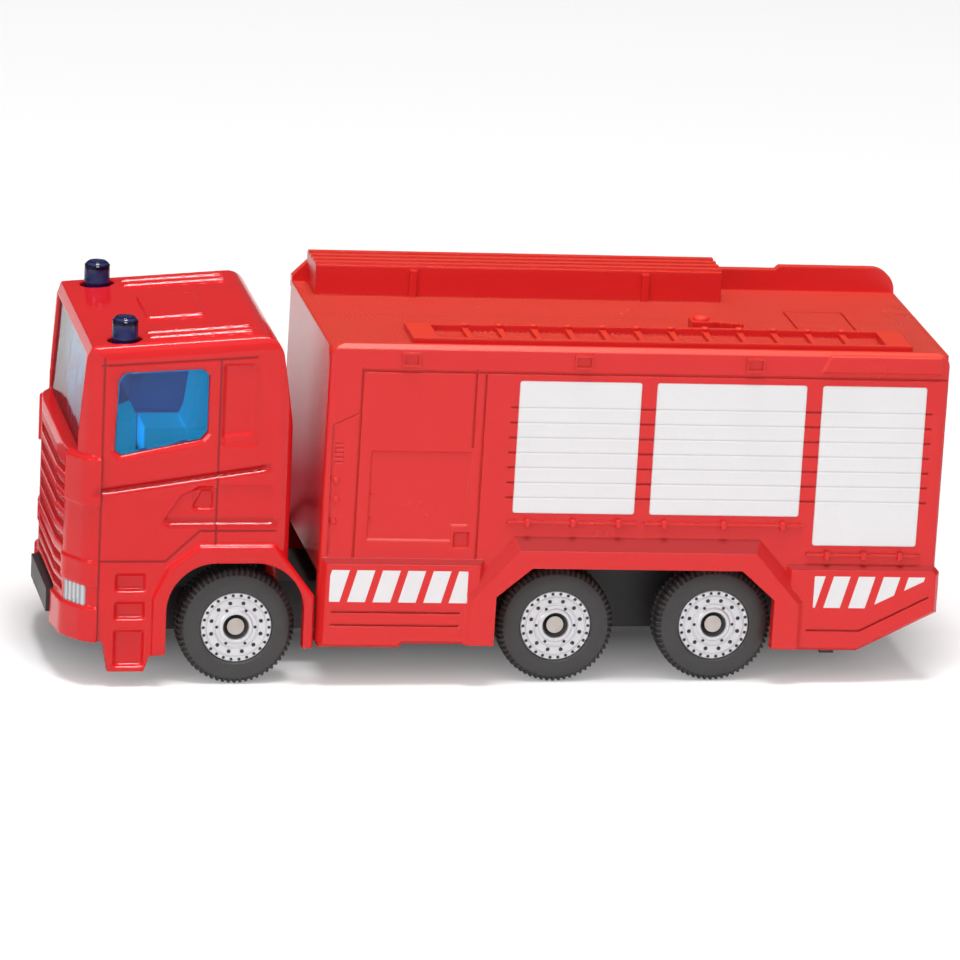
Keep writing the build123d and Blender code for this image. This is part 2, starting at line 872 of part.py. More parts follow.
def deck_lip():
    """Raised left edge of the deck, with a sloping shoulder."""
    outer_y = body_half_width
    inner_y = outer_y - lip_width
    low_z = deck_z - body_wall / 2
    profile = Plane.YZ * ring([
        (inner_y, low_z),
        (inner_y, lip_z - lip_height / 2),
        (inner_y + lip_height, lip_z),
        (outer_y - lip_height, lip_z),
        (outer_y, lip_z - lip_height),
        (outer_y, low_z),
    ])
    return extrude(profile, beyond, both=True) & extrude(body_plan(), beyond)


def lip_corner_cut(end_x, inward):
    """Room outside the rounded upper corner at one end of the left edge."""
    middle_x = end_x + inward * lip_corner_r
    middle_z = lip_z - lip_corner_r
    y = (body_half_width - lip_width, body_half_width + lip_width)
    corner = block((end_x - inward * lip_width, middle_x), y, (middle_z, lip_z + lip_width))
    return corner - rod(middle_x, middle_z, lip_corner_r, y[0] - lip_width, y[1] + lip_width)


def roof_locker():
    """Long locker on the right of the deck with ridges along its lid and two clamps."""
    outer_y = -body_half_width + parapet_wall / 2
    low_z = deck_z - body_wall / 2
    lid_width = locker_inner_y - outer_y
    locker = block((locker_rear_x, locker_front_x), (outer_y, locker_inner_y), (low_z, locker_z))
    pitch = lid_width / locker_ridges
    for k in range(locker_ridges):
        low_y = outer_y + (k + 0.25) * pitch
        z = (locker_z - locker_ridge, locker_z + locker_ridge)
        locker += block((locker_rear_x, locker_front_x), (low_y, low_y + pitch / 2), z)
    for x in (clamp_front_x, clamp_rear_x):
        y = (locker_inner_y - clamp_out, locker_inner_y + clamp_out)
        locker += block((x - clamp_width / 2, x + clamp_width / 2), y, (low_z, locker_z - clamp_out))
    return locker


def roof_ladder():
    """Ladder on the left of the deck: two rails, square rungs and a foot at each end."""
    top_z = deck_z + ladder_height
    low_z = deck_z - body_wall / 2
    x = (ladder_rear_x, ladder_front_x)
    ladder = block(x, (ladder_inner_y, ladder_inner_y + ladder_rail), (low_z, top_z))
    ladder += block(x, (ladder_outer_y - ladder_rail, ladder_outer_y), (low_z, top_z))
    for foot_x in (ladder_front_x, ladder_rear_x - ladder_foot):
        ladder += block((foot_x, foot_x + ladder_foot), (ladder_inner_y, ladder_outer_y), (low_z, top_z))
    pitch = (ladder_front_x - ladder_rear_x) / (ladder_rungs + 1)
    for k in range(ladder_rungs):
        rung_x = ladder_front_x - (k + 1) * pitch
        x = (rung_x - ladder_rung / 2, rung_x + ladder_rung / 2)
        ladder += block(x, (ladder_inner_y, ladder_outer_y), (low_z, top_z - ladder_rail / 2))
    return ladder


def deck_monitor():
    """Roof monitor: a foot on the deck with its barrel laid to the rear."""
    low_z = deck_z - body_wall / 2
    foot_r = monitor_barrel / 4
    top_z = deck_z + monitor_height
    foot_x = (monitor_x - foot_r, monitor_x + foot_r)
    foot = block(foot_x, (monitor_y - foot_r, monitor_y + foot_r), (low_z, top_z))
    barrel = side_face([
        (monitor_x, deck_z),
        (monitor_x, top_z),
        (monitor_x - monitor_barrel, top_z - monitor_height / 3),
        (monitor_x - monitor_barrel, deck_z),
    ])
    return foot + between(barrel, monitor_y - foot_r / 2, monitor_y + foot_r / 2)


def right_parapet():
    """Raised rail along the right edge of the deck, higher at the tail and rounded there."""
    low_z = deck_z - body_wall / 2
    tail_z = parapet_z + parapet_step
    outline = ring([
        (body_front_x, low_z),
        (body_front_x, parapet_z - parapet_bevel),
        (body_front_x - parapet_bevel, parapet_z),
        (parapet_step_x, parapet_z),
        (parapet_step_x - parapet_step, tail_z),
        (body_rear_x, tail_z),
        (body_rear_x, low_z),
    ])
    tail_corner = outline.vertices().sort_by(lambda v: v.Y - v.X)[-1]
    outline = Plane.XZ * fillet(tail_corner, parapet_corner_r)
    return between(outline, -body_half_width, -body_half_width + parapet_wall)


def body_moulding():
    """Fire body before it is seated: walls, deck, skirt, fenders and roof fittings."""
    middle_x = (body_front_x + body_rear_x) / 2
    length = body_front_x - body_rear_x
    body = Pos(0, 0, skirt_low_z) * extrude(body_plan(), deck_z - skirt_low_z)
    body -= across(side_face([
        (skirt_rise_x, -beyond),
        (skirt_rise_x, skirt_rear_low_z),
        (skirt_tail_x, skirt_tail_z),
        (body_rear_x - beyond, skirt_tail_z),
        (body_rear_x - beyond, -beyond),
    ]), beyond)
    body += both_sides(body_skirt() + body_fender())
    cavity = Pos(middle_x, 0) * Rectangle(length - 2 * body_wall, 2 * (body_half_width - body_wall))
    body -= Pos(0, 0, -beyond) * extrude(cavity, beyond + deck_z - body_wall)
    body -= across(side_face(fender_points(fender_leg, -beyond)), beyond)
    wheel_room = side_face(fender_points(fender_leg - fender_room, -beyond))
    body -= across(wheel_room, (tyre_outer_y + body_half_width) / 2)
    for cut in side_cuts() + skirt_grooves():
        body -= both_sides(cut)
    for piece in hand_rails() + cant_fittings():
        body += both_sides(piece)
    y = (-tail_half_width, tail_half_width)
    body -= block((body_rear_x - tail_sink, body_rear_x + tail_sink), y, (tail_low_z, tail_top_z))
    x = (hatch_line_rear_x, hatch_line_front_x)
    hatch = block(x, (-hatch_line_y, hatch_line_y), (deck_z - seam_depth, deck_z + seam_depth))
    inner_x = (hatch_line_rear_x + seam, hatch_line_front_x - seam)
    hatch -= block(inner_x, (seam - hatch_line_y, hatch_line_y - seam), (0, beyond))
    body -= hatch
    for x in (body_post_front_x, body_post_rear_x):
        foot_x = (x - body_post_half, x + body_post_half)
        z = (base_body_z - body_wall, deck_z - body_wall / 2)
        body += block(foot_x, (-body_post_half, body_post_half), z)
    body += deck_lip() + right_parapet() + roof_locker() + roof_ladder() + deck_monitor()
    return body - lip_corner_cut(body_front_x, -1) - lip_corner_cut(body_rear_x, 1)


def rear_body():
    """Fire body seated on the base with its small pitch, its posts cut level where they stand."""
    seat = Pos(0, 0, base_body_z) * Rot(0, -body_pitch, 0) * Pos(0, 0, -base_body_z)
    body = seat * body_moulding()
    front_x = body_front_x + body_wall
    rear_x = body_rear_x - body_wall
    inner_y = body_half_width - body_wall
    return body - block((rear_x, front_x), (-inner_y, inner_y), (-beyond, base_body_z))


def base():
    """Black base: a ribbed channel with axle blocks, the front plate and two side latches."""
    outline = side_face([
        (base_front_x, base_low_z + base_wall),
        (base_front_x, base_cab_z),
        (base_step_x, base_cab_z),
        (base_step_x, base_body_z),
        (base_rear_x, base_body_z),
        (base_rear_x, base_low_z + base_wall),
        (base_rear_x + base_wall, base_low_z),
        (base_front_x - base_wall, base_low_z),
    ])
    part = across(outline, base_half_width)
    axles = (front_axle_x, middle_axle_x, rear_axle_x)
    edges = [base_front_x - base_wall]
    for x in axles:
        edges += [x + base_block / 2, x - base_block / 2]
    edges += [screw_x + screw_boss_r, screw_x - screw_boss_r, base_rear_x + base_wall]
    edges = sorted(edges, reverse=True)
    inner_y = base_half_width - base_wall
    for front_x, rear_x in zip(edges[0::2], edges[1::2]):
        part -= block((front_x, rear_x), (-inner_y, inner_y), (0, base_cab_z - base_wall))
    for x in axles:
        y = (-base_block_y, base_block_y)
        part += block((x - base_block / 2, x + base_block / 2), y, (base_low_z, base_block_top_z))
        part -= rod(x, wheel_r, axle_r + axle_seat_fit, -beyond, beyond)
    part -= post(screw_x, 0, screw_r, 0, base_low_z + screw_depth)
    tongue_x = (base_front_x - base_wall, plate_front_x - plate_thick / 2)
    part += block(tongue_x, (-tongue_half_width, tongue_half_width), (plate_low_z, plate_high_z))
    plate_x = (plate_front_x - plate_thick, plate_front_x)
    part += block(plate_x, (-plate_half_width, plate_half_width), (plate_low_z, plate_high_z))
    latch_span = (latch_x - latch_width / 2, latch_x + latch_width / 2)
    arm_z = base_low_z + latch_wall
    latch = block(latch_span, (inner_y, latch_outer_y), (base_low_z, arm_z))
    latch += block(latch_span, (latch_outer_y - latch_wall, latch_outer_y), (latch_low_z, arm_z))
    return part + both_sides(latch)


parts = {
    "cab_shell": cab_shell(),
    "cab_glazing": cab_glazing(),
    "cab_interior": cab_interior(),
    "rear_body": rear_body(),
    "base": base(),
}
for place, axle_x in (("front", front_axle_x), ("middle", middle_axle_x), ("rear", rear_axle_x)):
    parts[f"axle_{place}"] = axle(axle_x)
    for name, make in (("tyre", tyre), ("rim", rim)):
        left = make(axle_x)
        parts[f"{name}_{place}_left"] = left
        parts[f"{name}_{place}_right"] = mirror(left, about=Plane.XZ)

os.makedirs("parts", exist_ok=True)
for name, shape in parts.items():
    export_step(shape, f"parts/{name}.step")
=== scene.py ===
import math

import bmesh
import bpy
from mathutils import Matrix, Vector


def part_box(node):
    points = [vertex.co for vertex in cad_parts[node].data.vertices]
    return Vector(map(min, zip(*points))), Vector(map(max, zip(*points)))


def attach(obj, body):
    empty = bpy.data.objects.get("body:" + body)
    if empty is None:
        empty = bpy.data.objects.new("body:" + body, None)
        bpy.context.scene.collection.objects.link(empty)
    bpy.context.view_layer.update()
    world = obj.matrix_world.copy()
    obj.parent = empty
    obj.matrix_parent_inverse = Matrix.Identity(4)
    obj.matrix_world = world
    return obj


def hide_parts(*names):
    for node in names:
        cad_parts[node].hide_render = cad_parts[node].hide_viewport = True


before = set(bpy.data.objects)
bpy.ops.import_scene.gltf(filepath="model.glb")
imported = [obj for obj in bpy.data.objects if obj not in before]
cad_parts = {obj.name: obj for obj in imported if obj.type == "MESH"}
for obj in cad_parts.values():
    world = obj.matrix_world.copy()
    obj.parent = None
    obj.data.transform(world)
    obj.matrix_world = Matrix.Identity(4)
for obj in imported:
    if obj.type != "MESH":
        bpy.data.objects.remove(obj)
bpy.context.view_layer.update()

MM = 0.001

# Camera of the photograph, in the toy's frame
CAMERA_EYE_MM = (129.22, 720.41, 212.99)
CAMERA_AZIMUTH = 10.161
CAMERA_ELEVATION = 15.051
CAMERA_ROLL = 2.523
CAMERA_LENS_MM = 302.1
SENSOR_MM = 36.0

# Studio in metres: a pale floor under a soft dome, brightest above the near side, and two soft lamps
FLOOR_RADIUS = 12.0
FLOOR_COLOUR = (0.80, 0.80, 0.80, 1)
# Painted shade: dull red floor colour behind the toy, seen only in reflections
FLOOR_PAINTED_REFLECTED_SHADE = (0.38, 0.035, 0.055, 1)
FLOOR_LIFT = 0.05
# Painted light: extra brightness for the camera on the floor's near side, lightening the toy's shadow there
FLOOR_NEAR_PAINTED_LIGHT = 0.32
DOME_LOW = 0.10
DOME_RISE = 0.85
DOME_TOWARDS = (0.10, 0.53, 0.84)
LAMPS = (
    ("overhead_lamp", (0.02, 0.16, 0.90), 0.28, 6.4),
    ("nose_lamp", (0.60, 0.46, 0.30), 0.22, 0.8),
)
LAMP_AIM = (0, 0, 0.015)

# Bands of the floor across the toy: where each starts, and how fast it grows per metre. The near band carries
# painted light; the bands behind and close mark the painted shade that reflections show.
FLOOR_NEAR = (-0.15 / 45, 45.0)
FLOOR_BEHIND = (-1.7 / 60, -60.0)
FLOOR_CLOSE = (-0.125, 16.0)

# Colours of the toy's finishes
RED_PAINT = (0.70, 0.012, 0.014, 1)
RED_PAINT_DEEP = (0.62, 0.008, 0.010, 1)
# Dark joints and slat lines, and painted shade along the cab's creases
RED_SEAM_AND_PAINTED_SHADE = (0.16, 0.003, 0.004, 1)
RED_MOULDING = (0.70, 0.020, 0.020, 1)
RED_MOULDING_DEEP = (0.67, 0.017, 0.018, 1)
# Painted light on the upward faces of the deck
RED_DECK_PAINTED_LIGHT = (0.74, 0.042, 0.019, 1)
# Painted shade on the ledge below the body side
RED_LEDGE_PAINTED_SHADE = (0.36, 0.004, 0.005, 1)
# Painted highlight along the body's edges
RED_EDGE_PAINTED_HIGHLIGHT = (0.86, 0.062, 0.034, 1)
WHITE_PRINT = (0.80, 0.79, 0.80, 1)
WHITE_PRINT_THIN = (0.74, 0.72, 0.73, 1)
WHITE_SLAT_LINE = (0.60, 0.58, 0.59, 1)
LAMP_SILVER = (0.62, 0.63, 0.65, 1)
LAMP_GROOVE = (0.30, 0.31, 0.33, 1)
PANE_BLUE = (0.32, 0.44, 0.62, 1)
PANE_BLUE_THICK = (0.28, 0.40, 0.58, 1)
BEACON_NAVY = (0.006, 0.009, 0.045, 1)
BEACON_VIOLET = (0.014, 0.019, 0.12, 1)
SEAT_BLUE = (0.003, 0.70, 0.95, 1)
SEAT_BLUE_DEEP = (0.003, 0.58, 0.86, 1)
# Painted shade inside the cab: between the seats, and deep painted shade below the windows
TUB_PAINTED_SHADE = (0.11, 0.15, 0.32, 1)
TUB_PAINTED_DEEP_SHADE = (0.012, 0.012, 0.013, 1)
BASE_BLACK = (0.018, 0.018, 0.019, 1)
BASE_BLACK_WORN = (0.034, 0.033, 0.034, 1)
PIN_STEEL = (0.62, 0.57, 0.53, 1)
PIN_STEEL_DULL = (0.46, 0.42, 0.39, 1)
RIM_SILVER = (0.74, 0.75, 0.77, 1)
RIM_SILVER_DULL = (0.64, 0.65, 0.68, 1)
# Painted shade in the rim's holes and in the pocket round the axle head
RIM_HOLE_PAINTED_SHADE = (0.02, 0.02, 0.022, 1)
TYRE_BLACK = (0.032, 0.031, 0.031, 1)
TYRE_BLACK_DUSTY = (0.056, 0.055, 0.055, 1)
PAINT_IOR = 1.42
PANE_IOR = 1.28
# Painted glow: the seats give off light of their own colour
SEAT_PAINTED_GLOW = 0.60

# From here on, sizes are millimetres, and boxes are front, rear, foot and head
# The fire body sits nose-up on the base, by this angle in degrees and turned about this height
BODY_PITCH = 1.0
BODY_PIVOT_Z = 10.8
BODY_SIDE_Y = 13.2
BODY_SIDE_DEPTH = 0.2
BODY_FRONT_X = 16.9
BODY_SKIRT_OUT = 0.5
BODY_EDGE_RADIUS = 0.22
LEDGE_HEAD_Z = 16.5
LEDGE_DEPTH = 0.1
DECK_Z = 32.05
# Height above which upward faces get painted light
DECK_PAINTED_LIGHT_Z = 20.0
DECK_LIP_Y = 11.9
HATCH_PITCH = 0.5
HATCH_REACH = 2 / 30

# White print on the body: shutters, and rows of slanted bars with one bar's rear edge and the bars' width
SHUTTERS = ((-0.6, -12.05, 16.65, 29.25), (-13.5, -27.65, 16.65, 29.25), (-29.15, -39.05, 13.9, 29.25))
PRINT_CORNER = 0.25
PRINT_CORNER_STEPS = 6
PRINT_LAYER = (-0.05, 0.03)
STRIPE_ROWS = (((16.2, 3.28, 8.05, 11.1), 4.87, 1.66), ((-29.53, -40.1, 8.03, 11.08), -32.94, 1.58))
STRIPE_PITCH = 2.38
STRIPE_SLANT = 0.27
STRIPE_CORNER = 0.1
TAIL_CUT_X = -35.15
TAIL_CUT_Z = 8.25
TAIL_CUT_SLOPE = -0.5

# Joints engraved on the cab side, and forms pressed into it: lines from point to point, and boxes
CAB_SIDE_Y = 13.2
CAB_SIDE_DEPTH = 0.55
CAB_JOINTS = (
    ((37.65, 4.4), (37.65, 31.3)), ((26.9, 13.7), (26.9, 31.3)), ((37.65, 12.1), (31.5, 12.1)),
    ((31.5, 12.1), (28.4, 15.0)), ((28.4, 15.0), (21.4, 15.0)), ((37.85, 30.65), (23.6, 31.5)),
)
CAB_JOINT_WIDTH = 0.17
CAB_CREASES = (((38.0, 18.7), (22.3, 21.0)), ((31.2, 15.75), (21.6, 15.75)))
CAB_CREASE_WIDTH = 0.55
CAB_PRESS_PANELS = ((26.6, 23.4, 23.2, 30.6), (29.0, 27.2, 16.9, 19.0))
CAB_PRESS_CORNER = 0.4
CAB_PRESS_FLANK = 0.5

# Headlamps at the corners of the nose
HEADLAMP = (42.0, 38.75, 7.75, 9.65)
HEADLAMP_CORNER = 0.25
HEADLAMP_INNER_Y = 10.1
HEADLAMP_FLUTE_PITCH = 2 * math.pi / 13.0

# Paint radii of the cab casting: grid, rounds of smoothing and the share of faces that is kept
CAB_GRID = 0.12
CAB_ROUNDS = 3
CAB_FACE_SHARE = 0.24

# Slat lines across the shutters and their posts
SLAT_TOP_Z = 26.7
SLAT_PITCH = 1.43
SLAT_FOOT_Z = 17.6
SLAT_FRONT_X = 0.1
SLAT_REAR_X = -39.7
SLAT_WIDTH = 0.14
SLAT_MARGIN = 0.3

# Lines and vent slits at the front corner of the body side, the margin as a share of the slits' pitch
BODY_SCORES = (((16.54, 24.73), (14.28, 25.86)), ((16.54, 24.73), (16.43, 12.4)))
SCORE_WIDTH = 0.15
VENT_FRONT_X = 16.3
VENT_REAR_X = 15.5
VENT_TOP_Z = 22.98
VENT_PITCH = 0.44
VENT_SLITS = 5
VENT_MARGIN = 0.4
SHARP_CORNER = 0.02

# Small moulded pieces of the body: hand rails, rivets, ladder and monitor, with domes by radius and height
RAIL_DROP = 0.85
KNOB_MARGIN = 1.45
KNOB_SIZE = (0.55, 0.7, 0.85)
KNOB_OUT = 0.15
KNOB_SAG = 0.05
KNOB_ROUND = 0.16
RIVETS = ((16.07, 19.51), (15.97, 17.69), (16.14, 15.61))
RIVET_DOME = (0.32, 0.22)
DOOR_STUDS = ((12.62, 18.29), (12.62, 15.87))
DOOR_STUD_DOME = (0.16, 0.14)
DOOR_STUD_DEPTH = 0.12
LADDER_FRONT_X = 6.9
LADDER_REAR_X = -35.4
LADDER_INNER_Y = 5.5
LADDER_RUNGS = 12
LADDER_TOP_Z = 32.7
LADDER_STUD_DOME = (0.40, 0.20)
LADDER_STUD_ACROSS = 0.28
LADDER_STUD_DEPTH = 0.04
MONITOR_X = -19.2
MONITOR_Y = 3.4
MONITOR_DOME = (0.8, 0.55)
MONITOR_DOME_RISE = 0.85
MONITOR_DOME_STEPS = 28
MONITOR_RINGS = (1.9, 2.9, 3.8)
MONITOR_RING_SIZE = (0.28, 1.25, 0.95)
MONITOR_RING_RISE = 0.42
MONITOR_PIPE_FALL = 0.04
MONITOR_ROUND = 0.08

# Domes of studs and rivets: share of the radius and of the height at each ring below the top
DOME_RINGS = ((1.0, -0.2), (1.0, 0.35), (0.86, 0.72), (0.55, 0.93))

# Cab inside: outlines along the toy, and reach across it
TUB_RIM_Z = 20.6
TUNNEL_SIDE_Y = 4.2
TUNNEL_OUTLINE = ((27.3, 23.8), (34.1, 23.8), (34.1, 26.6), (32.8, 28.0), (27.3, 28.4))
TUNNEL_FOOT_HALF = 3.7
TUNNEL_TOP_HALF = 3.3
TUNNEL_WAIST_Z = 25.0
TUNNEL_ROUND = 0.5
SEAT_OUTLINE = ((27.3, 23.9), (29.9, 23.9), (29.3, 25.2), (28.7, 30.0), (27.3, 30.0))
SEAT_INNER_Y = 4.8
SEAT_OUTER_Y = 10.9
SEAT_ROUND = 0.55

# Beacons on the cab roof: place, and the cap's radius and height above its foot along its outline
BEACON_X = 35.6
BEACON_Y = 10.7
BEACON_FOOT_Z = 32.57
BEACON_GLASS_Z = 31.6
BEACON_STEPS = 48
BEACON_OUTLINE = (
    (1.22, -0.9), (1.22, 0.05), (1.25, 0.15), (1.25, 0.32), (1.21, 0.42), (1.20, 1.50), (1.16, 1.80),
    (1.05, 2.00), (0.86, 2.12), (0.55, 2.17), (0.0, 2.18),
)

# Wheels: radius and reach outward along the sections, and rings of holes by count, radius and hole size
TYRE_LUGS = 62
TYRE_WALL = ((3.33, 1.50), (3.37, 1.84), (3.52, 1.96), (3.95, 2.00), (4.40, 1.95), (4.75, 1.86), (4.94, 1.78))
TYRE_LUG = ((5.02, 1.74), (5.32, 1.60), (5.46, 1.42), (5.50, 1.15), (5.50, 0.42))
TYRE_GAP = ((4.98, 1.66), (5.16, 1.46), (5.29, 1.28), (5.34, 1.06), (5.40, 0.42))
TYRE_BAND = ((5.38, 0.34),)
RIM_OUTLINE = (
    (0.62, -2.15), (3.33, -2.15), (3.33, 1.58), (3.30, 1.78), (3.22, 1.84), (2.92, 1.81), (2.86, 1.70),
    (2.80, 1.70), (2.74, 1.77), (2.66, 1.79), (2.12, 1.74), (2.06, 1.63), (1.98, 1.63), (1.92, 1.69),
    (1.64, 1.68), (1.58, 1.74), (1.48, 1.80), (1.26, 1.80), (1.19, 1.72), (1.12, 1.44), (0.62, 1.15),
)
RIM_STEPS = 96
RIM_DOTS = ((26, 3.07, 0.14), (12, 2.38, 0.18), (6, 1.80, 0.14))
RIM_FACE_Y = 1.4
RIM_POCKET_RADIUS = 1.2


def make_camera():
    """Camera at the photograph's viewing angle."""
    azimuth = math.radians(CAMERA_AZIMUTH)
    elevation = math.radians(CAMERA_ELEVATION)
    roll = math.radians(CAMERA_ROLL)
    back = Vector((
        math.sin(azimuth) * math.cos(elevation),
        math.cos(azimuth) * math.cos(elevation),
        math.sin(elevation),
    ))
    right = Vector((0, 0, 1)).cross(back).normalized()
    up = back.cross(right)
    turned_right = right * math.cos(roll) + up * math.sin(roll)
    turned_up = up * math.cos(roll) - right * math.sin(roll)
    data = bpy.data.cameras.new("photo_camera")
    data.lens = CAMERA_LENS_MM
    data.sensor_width = SENSOR_MM
    data.clip_start = 0.05
    data.clip_end = 50.0
    camera = bpy.data.objects.new("photo_camera", data)
    turn = Matrix((turned_right, turned_up, back)).transposed()
    camera.matrix_world = Matrix.Translation(Vector(CAMERA_EYE_MM) * MM) @ turn.to_4x4()
    bpy.context.scene.collection.objects.link(camera)
    bpy.context.scene.camera = camera


def put(tree, kind, **settings):
    """Adds a node with its settings."""
    node = tree.nodes.new(kind)
    for name, value in settings.items():
        setattr(node, name, value)
    return node


def feed(tree, socket, value):
    """Sets a socket to a plain value, or joins it to another node's output."""
    if isinstance(value, bpy.types.NodeSocket):
        tree.links.new(value, socket)
    else:
        socket.default_value = value


def dress(tree, shader, looks):
    """Feeds a shader's sockets by their names."""
    for name, value in looks.items():
        feed(tree, shader.inputs[name], value)


def reckon(tree, operation, *values):
    """One sum between numbers and outputs."""
    node = put(tree, "ShaderNodeMath", operation=operation)
    for socket, value in zip(node.inputs, values):
        feed(tree, socket, value)
    return node.outputs[0]


def both(tree, first, *others):
    """Where all the masks hold."""
    for other in others:
        first = reckon(tree, "MULTIPLY", first, other)
    return first


def either(tree, first, *others):
    """Where any of the masks holds."""
    for other in others:
        first = reckon(tree, "MAXIMUM", first, other)
    return first


def clipped(tree, value):
    """The value held between 0 and 1."""
    node = put(tree, "ShaderNodeClamp")
    feed(tree, node.inputs["Value"], value)
    return node.outputs[0]


def past(tree, value, start, slope):
    """A mask that grows from 0 at the start by the slope up to 1, downwards where the slope is negative."""
    return clipped(tree, reckon(tree, "MULTIPLY", reckon(tree, "SUBTRACT", value, start), slope))


def hypotenuse(tree, first, second):
    """Length of a line from its two legs."""
    squares = [reckon(tree, "POWER", leg, 2.0) for leg in (first, second)]
    return reckon(tree, "SQRT", reckon(tree, "ADD", *squares))


def ruled(tree, up, top, pitch, width):
    """Level lines at an even pitch, fading to nothing at the width from their middle."""
    part = reckon(tree, "DIVIDE", reckon(tree, "SUBTRACT", top, up), pitch)
    away = reckon(tree, "MULTIPLY", reckon(tree, "PINGPONG", part, 0.5), pitch)
    return past(tree, away, width, -1 / width)


def blend_colour(tree, share, first, second):
    """First colour where the share is 0, second where it is 1."""
    node = put(tree, "ShaderNodeMix", data_type="RGBA")
    feed(tree, node.inputs["Factor"], share)
    feed(tree, node.inputs[6], first)
    feed(tree, node.inputs[7], second)
    return node.outputs[2]


def spread(tree, share, low, high):
    """A number that runs from low to high with the share."""
    node = put(tree, "ShaderNodeMapRange")
    feed(tree, node.inputs["Value"], share)
    node.inputs["To Min"].default_value = low
    node.inputs["To Max"].default_value = high
    return node.outputs["Result"]


def object_place(tree):
    """The three object coordinates of the shaded point."""
    axes = put(tree, "ShaderNodeSeparateXYZ")
    feed(tree, axes.inputs[0], put(tree, "ShaderNodeTexCoord").outputs["Object"])
    return axes.outputs


def new_group(name, inputs, outputs):
    """An empty node group with named sockets, its input node and its output node."""
    tree = bpy.data.node_groups.new(name, "ShaderNodeTree")
    for label, default in inputs:
        socket = tree.interface.new_socket(label, in_out="INPUT", socket_type="NodeSocketFloat")
        socket.default_value = default
    for label, kind in outputs:
        tree.interface.new_socket(label, in_out="OUTPUT", socket_type=kind)
    return tree, put(tree, "NodeGroupInput").outputs, put(tree, "NodeGroupOutput").inputs


def use_group(tree, group, **values):
    """Places a group in a material with its own values."""
    node = put(tree, "ShaderNodeGroup", node_tree=group)
    for label, value in values.items():
        feed(tree, node.inputs[label.replace("_", " ")], value)
    return node.outputs


def make_ruler():
    """Millimetres along, across and up the toy, level with a part that sits at a pitch."""
    tree, given, result = new_group(
        "toy_ruler", [("Pitch", 0.0), ("Pivot", 0.0)],
        [("Along", "NodeSocketFloat"), ("Across", "NodeSocketFloat"), ("Up", "NodeSocketFloat")],
    )
    x, y, z = (reckon(tree, "MULTIPLY", axis, 1 / MM) for axis in object_place(tree))
    angle = reckon(tree, "RADIANS", given["Pitch"])
    cosine = reckon(tree, "COSINE", angle)
    sine = reckon(tree, "SINE", angle)
    rise = reckon(tree, "SUBTRACT", z, given["Pivot"])
    along = reckon(tree, "MULTIPLY_ADD", x, cosine, reckon(tree, "MULTIPLY", rise, sine))
    drop = reckon(tree, "MULTIPLY", x, sine)
    level = reckon(tree, "SUBTRACT", reckon(tree, "MULTIPLY", rise, cosine), drop)
    tree.links.new(along, result["Along"])
    tree.links.new(reckon(tree, "ABSOLUTE", y), result["Across"])
    tree.links.new(reckon(tree, "ADD", level, given["Pivot"]), result["Up"])
    return tree


def make_grain():
    """Fine surface grain and a broad unevenness of tone, sized in grains per millimetre."""
    tree, given, result = new_group(
        "surface_grain", [("Fine", 3.0), ("Broad", 0.15)],
        [("Grain", "NodeSocketFloat"), ("Tone", "NodeSocketFloat")],
    )
    place = put(tree, "ShaderNodeTexCoord").outputs["Object"]
    for label, output, detail in (("Fine", "Grain", 3.0), ("Broad", "Tone", 4.0)):
        noise = put(tree, "ShaderNodeTexNoise")
        noise.inputs["Detail"].default_value = detail
        tree.links.new(place, noise.inputs["Vector"])
        tree.links.new(reckon(tree, "MULTIPLY", given[label], 1 / MM), noise.inputs["Scale"])
        tree.links.new(noise.outputs[0], result[output])
    return tree


def make_soft_edge():
    """Rounded-looking edges, and a mask of where the edges are."""
    tree, given, result = new_group(
        "soft_edge", [("Radius", 0.2)], [("Normal", "NodeSocketVector"), ("Edge", "NodeSocketFloat")],
    )
    bevel = put(tree, "ShaderNodeBevel", samples=2)
    tree.links.new(reckon(tree, "MULTIPLY", given["Radius"], MM), bevel.inputs["Radius"])
    flat = put(tree, "ShaderNodeNewGeometry").outputs["Normal"]
    likeness = put(tree, "ShaderNodeVectorMath", operation="DOT_PRODUCT")
    tree.links.new(bevel.outputs[0], likeness.inputs[0])
    tree.links.new(flat, likeness.inputs[1])
    turn = reckon(tree, "SUBTRACT", 1.0, likeness.outputs["Value"])
    tree.links.new(bevel.outputs[0], result["Normal"])
    tree.links.new(clipped(tree, reckon(tree, "MULTIPLY", turn, 5.0)), result["Edge"])
    return tree


def make_panel_print():
    """A rounded panel between a front and a rear edge, a foot and a head, with flanks of a given slope."""
    tree, given, result = new_group(
        "panel_print",
        [("Along", 0.0), ("Up", 0.0), ("Front", 1.0), ("Rear", 0.0), ("Foot", 0.0), ("Head", 1.0),
         ("Corner", 0.4), ("Sharp", 20.0)],
        [("Mask", "NodeSocketFloat")],
    )
    out = []
    for value, high, low in (("Along", "Front", "Rear"), ("Up", "Head", "Foot")):
        middle = reckon(tree, "MULTIPLY", reckon(tree, "ADD", given[high], given[low]), 0.5)
        half = reckon(tree, "MULTIPLY", reckon(tree, "SUBTRACT", given[high], given[low]), 0.5)
        away = reckon(tree, "ABSOLUTE", reckon(tree, "SUBTRACT", given[value], middle))
        out.append(reckon(tree, "ADD", reckon(tree, "SUBTRACT", away, half), given["Corner"]))
    beyond = hypotenuse(tree, *(reckon(tree, "MAXIMUM", side, 0.0) for side in out))
    within = reckon(tree, "MINIMUM", reckon(tree, "MAXIMUM", *out), 0.0)
    distance = reckon(tree, "SUBTRACT", reckon(tree, "ADD", beyond, within), given["Corner"])
    mask = clipped(tree, reckon(tree, "SUBTRACT", 0.5, reckon(tree, "MULTIPLY", distance, given["Sharp"])))
    tree.links.new(mask, result["Mask"])
    return tree


